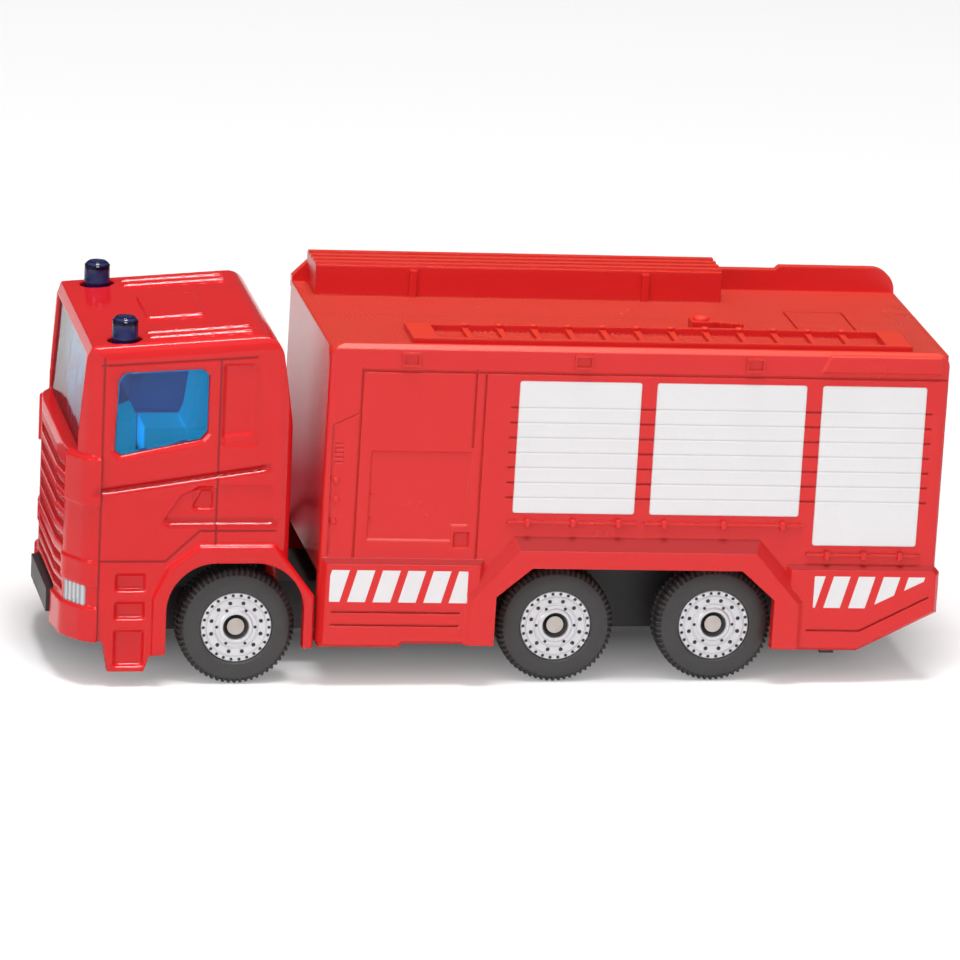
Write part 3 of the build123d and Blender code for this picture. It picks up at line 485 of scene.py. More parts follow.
def make_slant_bars():
    """Slanted bars of print, counted from one bar's rear edge at the head of the row."""
    tree, given, result = new_group(
        "slant_bars",
        [("Along", 0.0), ("Up", 0.0), ("Head", 0.0), ("Start", 0.0), ("Pitch", 2.4), ("Width", 1.6),
         ("Slant", 0.3)],
        [("Mask", "NodeSocketFloat")],
    )
    drop = reckon(tree, "SUBTRACT", given["Head"], given["Up"])
    upright = reckon(tree, "SUBTRACT", given["Along"], reckon(tree, "MULTIPLY", drop, given["Slant"]))
    start = reckon(tree, "SUBTRACT", upright, given["Start"])
    part = reckon(tree, "FLOORED_MODULO", start, given["Pitch"])
    half = reckon(tree, "MULTIPLY", given["Width"], 0.5)
    away = reckon(tree, "ABSOLUTE", reckon(tree, "SUBTRACT", part, half))
    mask = clipped(tree, reckon(tree, "MULTIPLY_ADD", reckon(tree, "SUBTRACT", away, half), -20.0, 0.5))
    tree.links.new(mask, result["Mask"])
    return tree


def make_scored_line():
    """A thin line between two points of the side."""
    tree, given, result = new_group(
        "scored_line",
        [("Along", 0.0), ("Up", 0.0), ("From Along", 0.0), ("From Up", 0.0), ("To Along", 1.0),
         ("To Up", 0.0), ("Width", 0.16)],
        [("Mask", "NodeSocketFloat")],
    )
    px = reckon(tree, "SUBTRACT", given["Along"], given["From Along"])
    pz = reckon(tree, "SUBTRACT", given["Up"], given["From Up"])
    dx = reckon(tree, "SUBTRACT", given["To Along"], given["From Along"])
    dz = reckon(tree, "SUBTRACT", given["To Up"], given["From Up"])
    length = reckon(tree, "ADD", reckon(tree, "POWER", dx, 2.0), reckon(tree, "POWER", dz, 2.0))
    dot = reckon(tree, "ADD", reckon(tree, "MULTIPLY", px, dx), reckon(tree, "MULTIPLY", pz, dz))
    share = clipped(tree, reckon(tree, "DIVIDE", dot, length))
    ex = reckon(tree, "SUBTRACT", px, reckon(tree, "MULTIPLY", share, dx))
    ez = reckon(tree, "SUBTRACT", pz, reckon(tree, "MULTIPLY", share, dz))
    away = hypotenuse(tree, ex, ez)
    mask = clipped(tree, reckon(tree, "SUBTRACT", 1.0, reckon(tree, "DIVIDE", away, given["Width"])))
    tree.links.new(mask, result["Mask"])
    return tree


def make_dot_ring():
    """A ring of round dots about the wheel's centre."""
    tree, given, result = new_group(
        "dot_ring", [("Angle", 0.0), ("Radius", 0.0), ("Count", 12.0), ("Ring", 2.0), ("Dot", 0.15)],
        [("Mask", "NodeSocketFloat")],
    )
    turns = reckon(tree, "DIVIDE", reckon(tree, "MULTIPLY", given["Angle"], given["Count"]), 2 * math.pi)
    part = reckon(tree, "SUBTRACT", reckon(tree, "FRACT", turns), 0.5)
    pitch = reckon(tree, "DIVIDE", reckon(tree, "MULTIPLY", given["Ring"], 2 * math.pi), given["Count"])
    arc = reckon(tree, "MULTIPLY", part, pitch)
    away = hypotenuse(tree, arc, reckon(tree, "SUBTRACT", given["Radius"], given["Ring"]))
    inside = reckon(tree, "SUBTRACT", given["Dot"], away)
    tree.links.new(clipped(tree, reckon(tree, "MULTIPLY_ADD", inside, 25.0, 0.5)), result["Mask"])
    return tree


def new_finish(name):
    """An empty finish: the material, its node tree and its shader."""
    material = bpy.data.materials.new(name)
    material.use_nodes = True
    tree = material.node_tree
    return material, tree, tree.nodes["Principled BSDF"]


def add_relief(tree, shader, height, depth_mm, base=None):
    """Relief on the surface, with its full depth in millimetres, over an optional base normal."""
    bump = put(tree, "ShaderNodeBump")
    bump.inputs["Distance"].default_value = depth_mm * MM
    feed(tree, bump.inputs["Height"], height)
    if base is not None:
        feed(tree, bump.inputs["Normal"], base)
    tree.links.new(bump.outputs[0], shader.inputs["Normal"])


def scored(tree, along, up, lines, width):
    """One mask of several thin lines of the side."""
    return either(tree, *(
        use_group(tree, SCORED_LINE, Along=along, Up=up, From_Along=from_x, From_Up=from_z, To_Along=to_x,
                  To_Up=to_z, Width=width)["Mask"]
        for (from_x, from_z), (to_x, to_z) in lines
    ))


def panel(tree, along, up, box, corner, sharp=20.0):
    """Mask of one rounded panel of the side."""
    front, rear, foot, head = box
    return use_group(tree, PANEL_PRINT, Along=along, Up=up, Front=front, Rear=rear, Foot=foot, Head=head,
                     Corner=corner, Sharp=sharp)["Mask"]


def make_cab_paint():
    """Gloss red paint over the casting with painted shade along its creases, silver at the lamps of the nose.
    """
    material, tree, shader = new_finish("gloss_red_cab_paint")
    ruler = use_group(tree, RULER)
    along, across, up = ruler["Along"], ruler["Across"], ruler["Up"]
    grain = use_group(tree, GRAIN, Fine=1.6, Broad=0.12)
    side = past(tree, across, CAB_SIDE_Y - CAB_SIDE_DEPTH, 8.0)
    joints = both(tree, scored(tree, along, up, CAB_JOINTS, CAB_JOINT_WIDTH), side)
    creases = both(tree, scored(tree, along, up, CAB_CREASES, CAB_CREASE_WIDTH), side)
    # Dark joints, and painted shade along the pressed creases
    joints_and_painted_shade = either(tree, joints, reckon(tree, "MULTIPLY", creases, 0.4))
    red = blend_colour(tree, grain["Tone"], RED_PAINT_DEEP, RED_PAINT)
    red = blend_colour(tree, reckon(tree, "MULTIPLY", joints_and_painted_shade, 0.9), red, RED_SEAM_AND_PAINTED_SHADE)

    nose_corner = past(tree, across, HEADLAMP_INNER_Y, 12.0)
    lamp = both(tree, nose_corner, panel(tree, along, up, HEADLAMP, HEADLAMP_CORNER))
    wave = reckon(tree, "SINE", reckon(tree, "MULTIPLY", across, 2 * math.pi / HEADLAMP_FLUTE_PITCH))
    flutes = reckon(tree, "MULTIPLY_ADD", wave, 0.5, 0.5)
    silver = blend_colour(tree, flutes, LAMP_SILVER, LAMP_GROOVE)

    panels = [panel(tree, along, up, box, CAB_PRESS_CORNER, 1 / CAB_PRESS_FLANK) for box in CAB_PRESS_PANELS]
    pressed = either(tree, creases, both(tree, either(tree, *panels), side))
    height = reckon(tree, "MULTIPLY_ADD", pressed, -1.6, reckon(tree, "MULTIPLY", grain["Grain"], 0.10))
    height = reckon(tree, "MULTIPLY_ADD", both(tree, flutes, lamp), -0.5, height)
    add_relief(tree, shader, height, 0.12)
    dress(tree, shader, {
        "Base Color": blend_colour(tree, lamp, red, silver),
        "Roughness": spread(tree, grain["Tone"], 0.08, 0.15),
        "Metallic": reckon(tree, "MULTIPLY", lamp, 0.7),
        "IOR": PAINT_IOR,
    })
    return material


def body_print(tree, along, across, up, side):
    """Mask of the body's white print: the shutters, and the slanted bars along the skirt."""
    panels = [panel(tree, along, up, box, PRINT_CORNER) for box in SHUTTERS]
    shutters = both(tree, either(tree, *panels), side)
    rows = []
    for box, start, width in STRIPE_ROWS:
        bars = use_group(tree, SLANT_BARS, Along=along, Up=up, Head=box[3], Start=start, Pitch=STRIPE_PITCH,
                         Width=width, Slant=STRIPE_SLANT)["Mask"]
        rows.append(both(tree, bars, panel(tree, along, up, box, STRIPE_CORNER)))
    skirt = past(tree, across, BODY_SIDE_Y + BODY_SKIRT_OUT, 40.0)
    tail_cut = reckon(tree, "MULTIPLY_ADD", along, TAIL_CUT_SLOPE, TAIL_CUT_Z - TAIL_CUT_SLOPE * TAIL_CUT_X)
    stripes = both(tree, either(tree, *rows), skirt, past(tree, up, tail_cut, 20.0))
    return either(tree, shutters, stripes)


def body_red(tree, across, up, grain, edge):
    """Red of the body, with painted light on the deck, painted highlights along edges and painted shade on
    the ledge, and the ledge's mask.
    """
    facing = put(tree, "ShaderNodeSeparateXYZ")
    tree.links.new(put(tree, "ShaderNodeNewGeometry").outputs["Normal"], facing.inputs[0])
    upward = past(tree, facing.outputs[2], 0.24, 2.5)
    outside = past(tree, across, BODY_SIDE_Y - LEDGE_DEPTH, 6.0)
    # Ledge below the body side, which gets painted shade
    ledge = both(tree, upward, outside, past(tree, up, LEDGE_HEAD_Z, -1.0))
    red = blend_colour(tree, grain["Tone"], RED_MOULDING_DEEP, RED_MOULDING)
    # Painted light on upward faces above the deck height
    red = blend_colour(tree, both(tree, upward, past(tree, up, DECK_PAINTED_LIGHT_Z, 1.0)), red, RED_DECK_PAINTED_LIGHT)
    # Painted highlight along edges
    red = blend_colour(tree, reckon(tree, "MULTIPLY", edge["Edge"], 0.6), red, RED_EDGE_PAINTED_HIGHLIGHT)
    return blend_colour(tree, ledge, red, RED_LEDGE_PAINTED_SHADE), ledge


def body_scores(tree, along, up, side, slat):
    """Mask of the lines, vent slits and slat lines cut into the body side."""
    slits = ruled(tree, up, VENT_TOP_Z, VENT_PITCH, SCORE_WIDTH)
    vent_foot = VENT_TOP_Z - (VENT_SLITS - 1 + VENT_MARGIN) * VENT_PITCH
    vent_box = (VENT_FRONT_X, VENT_REAR_X, vent_foot, VENT_TOP_Z + VENT_MARGIN * VENT_PITCH)
    vent = both(tree, slits, panel(tree, along, up, vent_box, SHARP_CORNER))
    lines = either(tree, scored(tree, along, up, BODY_SCORES, SCORE_WIDTH), vent)
    return either(tree, both(tree, lines, side), reckon(tree, "MULTIPLY", slat, 0.35))


def deck_hatch(tree, along, across, up):
    """Woven hatch of the deck, inside its lip."""
    turns = 2 * math.pi / HATCH_PITCH
    waves = [reckon(tree, "SINE", reckon(tree, "MULTIPLY", axis, turns)) for axis in (along, across)]
    off_deck = reckon(tree, "ABSOLUTE", reckon(tree, "SUBTRACT", up, DECK_Z))
    on_deck = past(tree, off_deck, HATCH_REACH, -30.0)
    return both(tree, *waves, on_deck, past(tree, across, DECK_LIP_Y, -20.0))


def make_body_moulding():
    """Satin red plastic of the fire body with its white print, scored lines and hatched deck."""
    material, tree, shader = new_finish("satin_red_body_moulding")
    ruler = use_group(tree, RULER, Pitch=BODY_PITCH, Pivot=BODY_PIVOT_Z)
    along, across, up = ruler["Along"], ruler["Across"], ruler["Up"]
    grain = use_group(tree, GRAIN, Fine=4.5, Broad=0.16)
    edge = use_group(tree, SOFT_EDGE, Radius=BODY_EDGE_RADIUS)
    side = past(tree, across, BODY_SIDE_Y - BODY_SIDE_DEPTH, 40.0)
    print_mask = body_print(tree, along, across, up, side)
    slat_box = (SLAT_FRONT_X, SLAT_REAR_X, SLAT_FOOT_Z, SLAT_TOP_Z + SLAT_MARGIN)
    slat = both(tree, ruled(tree, up, SLAT_TOP_Z, SLAT_PITCH, SLAT_WIDTH),
                panel(tree, along, up, slat_box, SHARP_CORNER), side)

    red, ledge = body_red(tree, across, up, grain, edge)
    red = blend_colour(tree, reckon(tree, "MULTIPLY", slat, 0.15), red, RED_SEAM_AND_PAINTED_SHADE)
    white = blend_colour(tree, grain["Tone"], WHITE_PRINT_THIN, WHITE_PRINT)
    white = blend_colour(tree, reckon(tree, "MULTIPLY", slat, 0.5), white, WHITE_SLAT_LINE)

    satin = spread(tree, grain["Tone"], 0.24, 0.29)
    satin = reckon(tree, "MULTIPLY_ADD", ledge, 0.4, satin)
    satin = reckon(tree, "MULTIPLY_ADD", print_mask, 0.08, satin)
    polished = past(tree, along, BODY_FRONT_X, 6.0)

    height = reckon(tree, "MULTIPLY", grain["Grain"], 0.10)
    height = reckon(tree, "MULTIPLY_ADD", body_scores(tree, along, up, side, slat), -1.0, height)
    height = reckon(tree, "MULTIPLY_ADD", deck_hatch(tree, along, across, up), 0.9, height)
    height = reckon(tree, "MULTIPLY_ADD", print_mask, 0.10, height)
    add_relief(tree, shader, height, 0.12, edge["Normal"])
    dress(tree, shader, {
        "Base Color": blend_colour(tree, print_mask, red, white),
        "Roughness": reckon(tree, "MULTIPLY_ADD", polished, -0.16, satin),
        "IOR": PAINT_IOR,
    })
    return material


def make_glazing():
    """Clear blue moulding: panes that let light through, and two deep navy beacons."""
    material, tree, shader = new_finish("clear_blue_glazing")
    ruler = use_group(tree, RULER)
    grain = use_group(tree, GRAIN, Fine=0.35, Broad=0.2)
    beacon = past(tree, ruler["Up"], BEACON_GLASS_Z, 4.0)
    pane = blend_colour(tree, grain["Tone"], PANE_BLUE_THICK, PANE_BLUE)
    add_relief(tree, shader, grain["Grain"], 0.02)
    dress(tree, shader, {
        "Base Color": blend_colour(tree, beacon, pane, BEACON_NAVY),
        "Roughness": spread(tree, grain["Tone"], 0.01, 0.06),
        "Transmission Weight": 1.0,
        "IOR": PANE_IOR,
    })
    path = put(tree, "ShaderNodeLightPath")
    clear = put(tree, "ShaderNodeBsdfTransparent")
    clear.inputs["Color"].default_value = PANE_BLUE
    mix = put(tree, "ShaderNodeMixShader")
    feed(tree, mix.inputs[0], either(tree, path.outputs["Is Shadow Ray"], path.outputs["Is Diffuse Ray"]))
    feed(tree, mix.inputs[1], shader.outputs[0])
    feed(tree, mix.inputs[2], clear.outputs[0])
    feed(tree, tree.nodes["Material Output"].inputs["Surface"], mix.outputs[0])
    return material


def make_beacon_plastic():
    """Deep blue gloss plastic of the beacons, uneven in tone."""
    material, tree, shader = new_finish("navy_beacon_plastic")
    grain = use_group(tree, GRAIN, Fine=1.5, Broad=0.9)
    add_relief(tree, shader, grain["Grain"], 0.02)
    dress(tree, shader, {
        "Base Color": blend_colour(tree, grain["Tone"], BEACON_NAVY, BEACON_VIOLET),
        "Roughness": spread(tree, grain["Tone"], 0.05, 0.12),
    })
    return material


def make_seat_plastic():
    """Blue plastic of the seats with a painted glow, in painted shade between them and in deep painted shade
    below the windows.
    """
    material, tree, shader = new_finish("blue_seat_plastic")
    grain = use_group(tree, GRAIN, Fine=2.5, Broad=0.25)
    ruler = use_group(tree, RULER)
    blue = blend_colour(tree, grain["Tone"], SEAT_BLUE_DEEP, SEAT_BLUE)
    # Painted shade between the seats and deep painted shade below the window rim
    blue = blend_colour(tree, past(tree, ruler["Across"], TUNNEL_SIDE_Y, 6.0), TUB_PAINTED_SHADE, blue)
    blue = blend_colour(tree, past(tree, ruler["Up"], TUB_RIM_Z, 1.0), TUB_PAINTED_DEEP_SHADE, blue)
    add_relief(tree, shader, grain["Grain"], 0.02)
    dress(tree, shader, {
        "Base Color": blue,
        "Emission Color": blue,
        "Emission Strength": SEAT_PAINTED_GLOW,
        "Roughness": spread(tree, grain["Tone"], 0.32, 0.45),
    })
    return material


def make_base_plastic():
    """Black moulded plastic of the base, a little worn."""
    material, tree, shader = new_finish("black_base_plastic")
    grain = use_group(tree, GRAIN, Fine=5.0, Broad=0.2)
    add_relief(tree, shader, grain["Grain"], 0.02)
    dress(tree, shader, {
        "Base Color": blend_colour(tree, grain["Tone"], BASE_BLACK, BASE_BLACK_WORN),
        "Roughness": spread(tree, grain["Tone"], 0.38, 0.52),
    })
    return material


def make_pin_steel():
    """Bare steel of the axle pins, dull in patches."""
    material, tree, shader = new_finish("turned_axle_steel")
    grain = use_group(tree, GRAIN, Fine=6.0, Broad=1.2)
    add_relief(tree, shader, grain["Grain"], 0.012)
    dress(tree, shader, {
        "Base Color": blend_colour(tree, grain["Tone"], PIN_STEEL_DULL, PIN_STEEL),
        "Metallic": 1.0,
        "Roughness": spread(tree, grain["Grain"], 0.30, 0.50),
    })
    return material


def make_rim_silver():
    """Silver rim paint with painted shade in three rings of small holes and in the pocket round the axle
    head.
    """
    material, tree, shader = new_finish("silver_rim_paint")
    x, y, z = (reckon(tree, "MULTIPLY", axis, 1 / MM) for axis in object_place(tree))
    radius = hypotenuse(tree, x, z)
    angle = reckon(tree, "ARCTAN2", x, z)
    grain = use_group(tree, GRAIN, Fine=7.0, Broad=0.5)
    rings = [
        use_group(tree, DOT_RING, Angle=angle, Radius=radius, Count=float(count), Ring=ring, Dot=dot)["Mask"]
        for count, ring, dot in RIM_DOTS
    ]
    on_face = reckon(tree, "GREATER_THAN", reckon(tree, "ABSOLUTE", y), RIM_FACE_Y)
    pocket = past(tree, radius, RIM_POCKET_RADIUS, -15.0)
    # Painted shade in the holes and in the pocket round the axle head
    dark = either(tree, both(tree, either(tree, *rings), on_face), pocket)
    silver = blend_colour(tree, grain["Tone"], RIM_SILVER_DULL, RIM_SILVER)
    height = reckon(tree, "MULTIPLY_ADD", dark, -1.0, reckon(tree, "MULTIPLY", grain["Grain"], 0.12))
    add_relief(tree, shader, height, 0.10)
    dress(tree, shader, {
        "Base Color": blend_colour(tree, dark, silver, RIM_HOLE_PAINTED_SHADE),
        "Metallic": reckon(tree, "MULTIPLY", reckon(tree, "SUBTRACT", 1.0, dark), 0.55),
        "Roughness": spread(tree, grain["Grain"], 0.28, 0.42),
    })
    return material


def make_tyre_rubber():
    """Matt black tyre, a little dusty."""
    material, tree, shader = new_finish("matt_tyre_black")
    grain = use_group(tree, GRAIN, Fine=5.5, Broad=0.5)
    add_relief(tree, shader, grain["Grain"], 0.02)
    dress(tree, shader, {
        "Base Color": blend_colour(tree, grain["Tone"], TYRE_BLACK, TYRE_BLACK_DUSTY),
        "Roughness": spread(tree, grain["Tone"], 0.42, 0.56),
    })
    return material


def make_floor():
    """Pale floor, lifted evenly for the camera with painted light on its near side that lightens the toy's
    shadow, and dull red painted shade behind the toy that only gloss faces mirror.
    """
    bm = bmesh.new()
    bmesh.ops.create_circle(bm, cap_ends=True, segments=64, radius=FLOOR_RADIUS)
    mesh = bpy.data.meshes.new("floor")
    bm.to_mesh(mesh)
    bm.free()
    floor = bpy.data.objects.new("floor", mesh)
    bpy.context.scene.collection.objects.link(floor)
    material, tree, shader = new_finish("floor_paper")
    path = put(tree, "ShaderNodeLightPath").outputs
    across = object_place(tree)[1]
    # Even lift of the floor for the camera, plus painted light on its near side that lightens the shadow
    lift = reckon(tree, "MULTIPLY_ADD", past(tree, across, *FLOOR_NEAR), FLOOR_NEAR_PAINTED_LIGHT, FLOOR_LIFT)
    behind = both(tree, past(tree, across, *FLOOR_BEHIND), past(tree, across, *FLOOR_CLOSE))
    # Painted shade for reflections: the floor behind the toy turns dull red for glossy rays only
    painted_reflected_shade = both(tree, behind, path["Is Glossy Ray"])
    dress(tree, shader, {
        "Base Color": blend_colour(tree, painted_reflected_shade, FLOOR_COLOUR, FLOOR_PAINTED_REFLECTED_SHADE),
        "Roughness": 0.9,
        "Emission Color": (1, 1, 1, 1),
        "Emission Strength": both(tree, path["Is Camera Ray"], lift),
    })
    mesh.materials.append(material)


def make_studio():
    """Floor, a soft dome and two lamps for highlights."""
    make_floor()
    world = bpy.data.worlds.new("studio")
    world.use_nodes = True
    bpy.context.scene.world = world
    tree = world.node_tree
    background = tree.nodes["Background"]
    background.inputs["Color"].default_value = (1, 1, 1, 1)
    facing = put(tree, "ShaderNodeVectorMath", operation="DOT_PRODUCT")
    tree.links.new(put(tree, "ShaderNodeTexCoord").outputs["Generated"], facing.inputs[0])
    facing.inputs[1].default_value = DOME_TOWARDS
    lit = reckon(tree, "MAXIMUM", facing.outputs["Value"], 0.0)
    tree.links.new(reckon(tree, "MULTIPLY_ADD", lit, DOME_RISE, DOME_LOW), background.inputs["Strength"])

    for name, place, size, energy in LAMPS:
        data = bpy.data.lights.new(name, "AREA")
        data.size = size
        data.energy = energy
        lamp = bpy.data.objects.new(name, data)
        lamp.location = place
        aim = Vector(LAMP_AIM) - Vector(place)
        lamp.rotation_euler = aim.to_track_quat("-Z", "Y").to_euler()
        bpy.context.scene.collection.objects.link(lamp)


def on_body(x, y, z):
    """A point given level with the fire body, in the toy's frame in metres."""
    pitch = math.radians(BODY_PITCH)
    rise = z - BODY_PIVOT_Z
    return Vector((
        x * math.cos(pitch) - rise * math.sin(pitch),
        y,
        BODY_PIVOT_Z + rise * math.cos(pitch) + x * math.sin(pitch),
    )) * MM


def finished_piece(name, bm, finish, body, place=(0, 0, 0), sharp=35):
    """Turns a built mesh into a piece with its finish, riding on a body."""
    bmesh.ops.recalc_face_normals(bm, faces=bm.faces)
    mesh = bpy.data.meshes.new(name)
    bm.to_mesh(mesh)
    bm.free()
    for face in mesh.polygons:
        face.use_smooth = True
    mesh.set_sharp_from_angle(angle=math.radians(sharp))
    mesh.materials.append(finish)
    piece = bpy.data.objects.new(name, mesh)
    piece.location = place
    bpy.context.scene.collection.objects.link(piece)
    bpy.context.view_layer.update()
    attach(piece, body)
    return piece


def round_over(piece, width_mm):
    """Rounds a piece's edges."""
    bevel = piece.modifiers.new("round_over", "BEVEL")
    bevel.width = width_mm * MM
    bevel.segments = 3
    bevel.limit_method = "ANGLE"


def turn_rings(bm, ring_at, steps, outward):
    """Closed body of revolution about Y from a section per step, in millimetres."""
    rings = []
    for k in range(steps):
        angle = 2 * math.pi * k / steps
        rings.append([
            bm.verts.new((r * math.sin(angle) * MM, outward * y * MM, r * math.cos(angle) * MM))
            for r, y in ring_at(k)
        ])
    for k in range(steps):
        here, there = rings[k], rings[(k + 1) % steps]
        count = len(here)
        for j in range(count):
            bm.faces.new((here[j], here[(j + 1) % count], there[(j + 1) % count], there[j]))


def tyre_ring(k):
    """Tyre section at one step: smooth bulged walls, and shoulders cut into lugs, in turn on each side."""
    outer = TYRE_WALL + (TYRE_LUG if k % 4 in (0, 1) else TYRE_GAP) + TYRE_BAND
    inner = TYRE_WALL + (TYRE_LUG if (k + 2) % 4 in (0, 1) else TYRE_GAP) + TYRE_BAND
    return outer + tuple((r, -y) for r, y in reversed(inner))


def rim_ring(k):
    """Rim section, the same at every step: stepped face, raised hub ring and the pocket of the axle head."""
    return RIM_OUTLINE


def make_wheels():
    """Six tyres with lugged shoulders and six stepped rims."""
    for place in ("front", "middle", "rear"):
        for side, outward in (("left", 1), ("right", -1)):
            low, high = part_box(f"tyre_{place}_{side}")
            centre = (Vector(low) + Vector(high)) / 2
            body = f"wheel_{place}_{side}"
            bm = bmesh.new()
            turn_rings(bm, tyre_ring, 4 * TYRE_LUGS, outward)
            name = f"lugged_tyre_{place}_{side}"
            tyre = finished_piece(name, bm, TYRE_RUBBER, body, centre, sharp=32)
            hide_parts(f"tyre_{place}_{side}")
            bm = bmesh.new()
            turn_rings(bm, rim_ring, RIM_STEPS, outward)
            name = f"stepped_rim_{place}_{side}"
            rim = finished_piece(name, bm, RIM_PAINT, body, centre, sharp=28)
            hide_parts(f"rim_{place}_{side}")


def add_prism(bm, low, high):
    """A closed prism between two outlines with the same number of points."""
    count = len(low)
    for k in range(count):
        bm.faces.new((low[k], low[(k + 1) % count], high[(k + 1) % count], high[k]))
    bm.faces.new(high)
    bm.faces.new(list(reversed(low)))


def add_block(bm, centre, size):
    """A block level with the fire body, by its centre and size in millimetres."""
    layers = []
    for dz in (-1, 1):
        layers.append([
            bm.verts.new(on_body(*(c + d * s / 2 for c, d, s in zip(centre, (dx, dy, dz), size))))
            for dx, dy in ((-1, -1), (1, -1), (1, 1), (-1, 1))
        ])
    add_prism(bm, *layers)


def add_dome(bm, centre, out, radius, height, steps=20):
    """A low round dome at a point of the fire body, standing out along one direction."""
    base = on_body(*centre)
    out = Vector(out).normalized()
    first = out.orthogonal().normalized()
    second = out.cross(first)
    rings = []
    for share, rise in DOME_RINGS:
        ring = []
        for k in range(steps):
            angle = 2 * math.pi * k / steps
            round_about = first * math.cos(angle) + second * math.sin(angle)
            ring.append(bm.verts.new(base + (out * height * rise + radius * share * round_about) * MM))
        rings.append(ring)
    for low, high in zip(rings, rings[1:]):
        for k in range(steps):
            bm.faces.new((low[k], low[(k + 1) % steps], high[(k + 1) % steps], high[k]))
    top = bm.verts.new(base + out * height * MM)
    for k in range(steps):
        bm.faces.new((rings[-1][k], rings[-1][(k + 1) % steps], top))
    bm.faces.new(list(reversed(rings[0])))


def make_shutter_print():
    """Thin layer of white print on each shutter, with rounded corners."""
    bm = bmesh.new()
    for side in (1, -1):
        for front, rear, foot, head in SHUTTERS:
            outline = []
            for x, z, start in ((front, head, 0), (rear, head, 90), (rear, foot, 180), (front, foot, 270)):
                centre_x = x - PRINT_CORNER if x == front else x + PRINT_CORNER
                centre_z = z - PRINT_CORNER if z == head else z + PRINT_CORNER
                for k in range(PRINT_CORNER_STEPS + 1):
                    angle = math.radians(start + 90 * k / PRINT_CORNER_STEPS)
                    outline.append((centre_x + PRINT_CORNER * math.cos(angle),
                                    centre_z + PRINT_CORNER * math.sin(angle)))
            add_prism(bm, *([bm.verts.new(on_body(x, side * (BODY_SIDE_Y + out), z)) for x, z in outline]
                            for out in PRINT_LAYER))
    finished_piece("shutter_print", bm, BODY_MOULDING, "truck")


def make_tunnel():
    """Raised engine tunnel between the seats."""
    bm = bmesh.new()
    sides = []
    for side in (-1, 1):
        outline = []
        for x, z in TUNNEL_OUTLINE:
            half = TUNNEL_FOOT_HALF if z < TUNNEL_WAIST_Z else TUNNEL_TOP_HALF
            outline.append(bm.verts.new(Vector((x, side * half, z)) * MM))
        sides.append(outline)
    add_prism(bm, *sides)
    tunnel = finished_piece("engine_tunnel", bm, SEAT_PLASTIC, "truck", sharp=60)
    round_over(tunnel, TUNNEL_ROUND)


def make_seats():
    """Two seat backs that stand on the tub behind the side windows."""
    bm = bmesh.new()
    for side in (1, -1):
        add_prism(bm, *([bm.verts.new(Vector((x, side * y, z)) * MM) for x, z in SEAT_OUTLINE]
                        for y in (SEAT_INNER_Y, SEAT_OUTER_Y)))
    seats = finished_piece("seat_backs", bm, SEAT_PLASTIC, "truck", sharp=60)
    round_over(seats, SEAT_ROUND)


def make_beacons():
    """Round caps of the two beacons on the cab roof."""
    for side, across in (("left", 1), ("right", -1)):
        bm = bmesh.new()
        points = [bm.verts.new((r * MM, 0, z * MM)) for r, z in BEACON_OUTLINE]
        edges = [bm.edges.new(pair) for pair in zip(points, points[1:])]
        bmesh.ops.spin(bm, geom=points + edges, axis=(0, 0, 1), cent=(0, 0, 0), angle=2 * math.pi,
                       steps=BEACON_STEPS, use_merge=True)
        bmesh.ops.remove_doubles(bm, verts=bm.verts, dist=1e-7)
        place = Vector((BEACON_X, across * BEACON_Y, BEACON_FOOT_Z)) * MM
        finished_piece(f"beacon_cap_{side}", bm, BEACON_PLASTIC, "truck", place, sharp=50)


def make_rail_knobs():
    """Small grips on the hand rails below the shutters."""
    bm = bmesh.new()
    for side in (1, -1):
        for front, rear, foot, head in SHUTTERS:
            for share in (0.0, 0.5, 1.0):
                x = (front - KNOB_MARGIN) * (1 - share) + (rear + KNOB_MARGIN) * share
                add_block(bm, (x, side * (BODY_SIDE_Y + KNOB_OUT), foot - RAIL_DROP - KNOB_SAG), KNOB_SIZE)
    knobs = finished_piece("hand_rail_knobs", bm, BODY_MOULDING, "truck")
    round_over(knobs, KNOB_ROUND)


def make_rivets():
    """Rivets at the front corners of the body, door studs, and studs on the ladder's inner rail."""
    bm = bmesh.new()
    for side in (1, -1):
        for x, z in RIVETS:
            add_dome(bm, (x, side * BODY_SIDE_Y, z), (0, side, 0), *RIVET_DOME)
        for x, z in DOOR_STUDS:
            add_dome(bm, (x, side * (BODY_SIDE_Y - DOOR_STUD_DEPTH), z), (0, side, 0), *DOOR_STUD_DOME)
    finished_piece("corner_rivets", bm, BODY_MOULDING, "truck", sharp=60)
    bm = bmesh.new()
    pitch = (LADDER_FRONT_X - LADDER_REAR_X) / (LADDER_RUNGS + 1)
    y = LADDER_INNER_Y + LADDER_STUD_ACROSS
    for k in range(LADDER_RUNGS):
        x = LADDER_FRONT_X - (k + 1) * pitch
        add_dome(bm, (x, y, LADDER_TOP_Z - LADDER_STUD_DEPTH), (0, 0, 1), *LADDER_STUD_DOME)
    finished_piece("ladder_studs", bm, BODY_MOULDING, "truck", sharp=60)


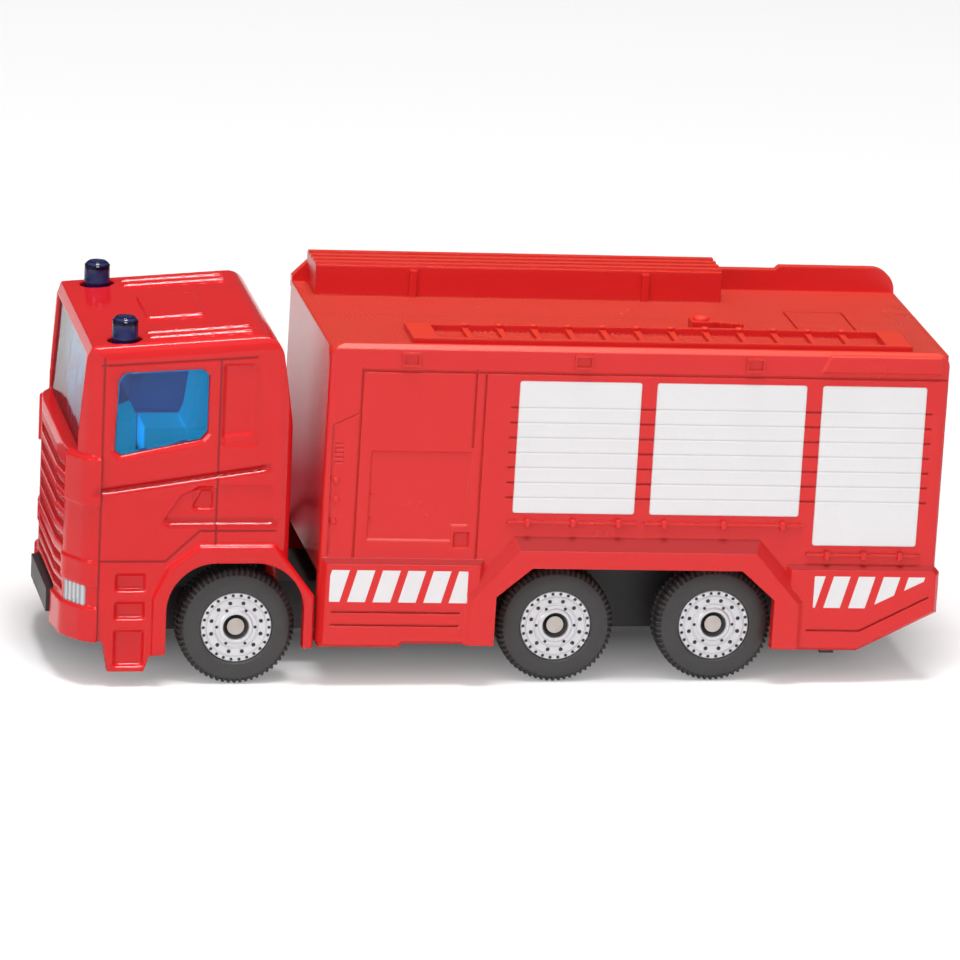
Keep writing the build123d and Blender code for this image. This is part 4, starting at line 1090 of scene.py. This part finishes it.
def make_monitor_head():
    """Ball head of the roof monitor and the rings on its pipe."""
    bm = bmesh.new()
    top = (MONITOR_X, MONITOR_Y, DECK_Z + MONITOR_DOME_RISE)
    add_dome(bm, top, (0, 0, 1), *MONITOR_DOME, MONITOR_DOME_STEPS)
    for step in MONITOR_RINGS:
        rise = MONITOR_RING_RISE - MONITOR_PIPE_FALL * step
        add_block(bm, (MONITOR_X - step, MONITOR_Y, DECK_Z + rise), MONITOR_RING_SIZE)
    head = finished_piece("monitor_head", bm, BODY_MOULDING, "truck", sharp=50)
    round_over(head, MONITOR_ROUND)


def soften_casting(node, grid_mm, rounds, share):
    """Thick-paint radii on every edge of a solid that shows as it is."""
    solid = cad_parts[node]
    grid = solid.modifiers.new("even_grid", "REMESH")
    grid.mode = "VOXEL"
    grid.voxel_size = grid_mm * MM
    grid.use_smooth_shade = True
    soft = solid.modifiers.new("soft_radii", "SMOOTH")
    soft.factor = 0.5
    soft.iterations = rounds
    fewer = solid.modifiers.new("fewer_faces", "DECIMATE")
    fewer.ratio = share


def dress_castings():
    """Finishes for the solids that show as they are."""
    finishes = {"cab_shell": CAB_PAINT, "cab_glazing": GLAZING, "cab_interior": SEAT_PLASTIC,
                "rear_body": BODY_MOULDING, "base": BASE_PLASTIC, "axle_front": PIN_METAL,
                "axle_middle": PIN_METAL, "axle_rear": PIN_METAL}
    for node, finish in finishes.items():
        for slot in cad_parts[node].material_slots:
            slot.material = finish


RULER = make_ruler()
GRAIN = make_grain()
SOFT_EDGE = make_soft_edge()
PANEL_PRINT = make_panel_print()
SLANT_BARS = make_slant_bars()
SCORED_LINE = make_scored_line()
DOT_RING = make_dot_ring()

CAB_PAINT = make_cab_paint()
BODY_MOULDING = make_body_moulding()
GLAZING = make_glazing()
BEACON_PLASTIC = make_beacon_plastic()
SEAT_PLASTIC = make_seat_plastic()
BASE_PLASTIC = make_base_plastic()
PIN_METAL = make_pin_steel()
RIM_PAINT = make_rim_silver()
TYRE_RUBBER = make_tyre_rubber()

make_camera()
make_studio()
dress_castings()
soften_casting("cab_shell", CAB_GRID, CAB_ROUNDS, CAB_FACE_SHARE)
make_wheels()
make_shutter_print()
make_tunnel()
make_seats()
make_beacons()
make_rail_knobs()
make_rivets()
make_monitor_head()

bpy.context.scene.view_settings.view_transform = "Standard"
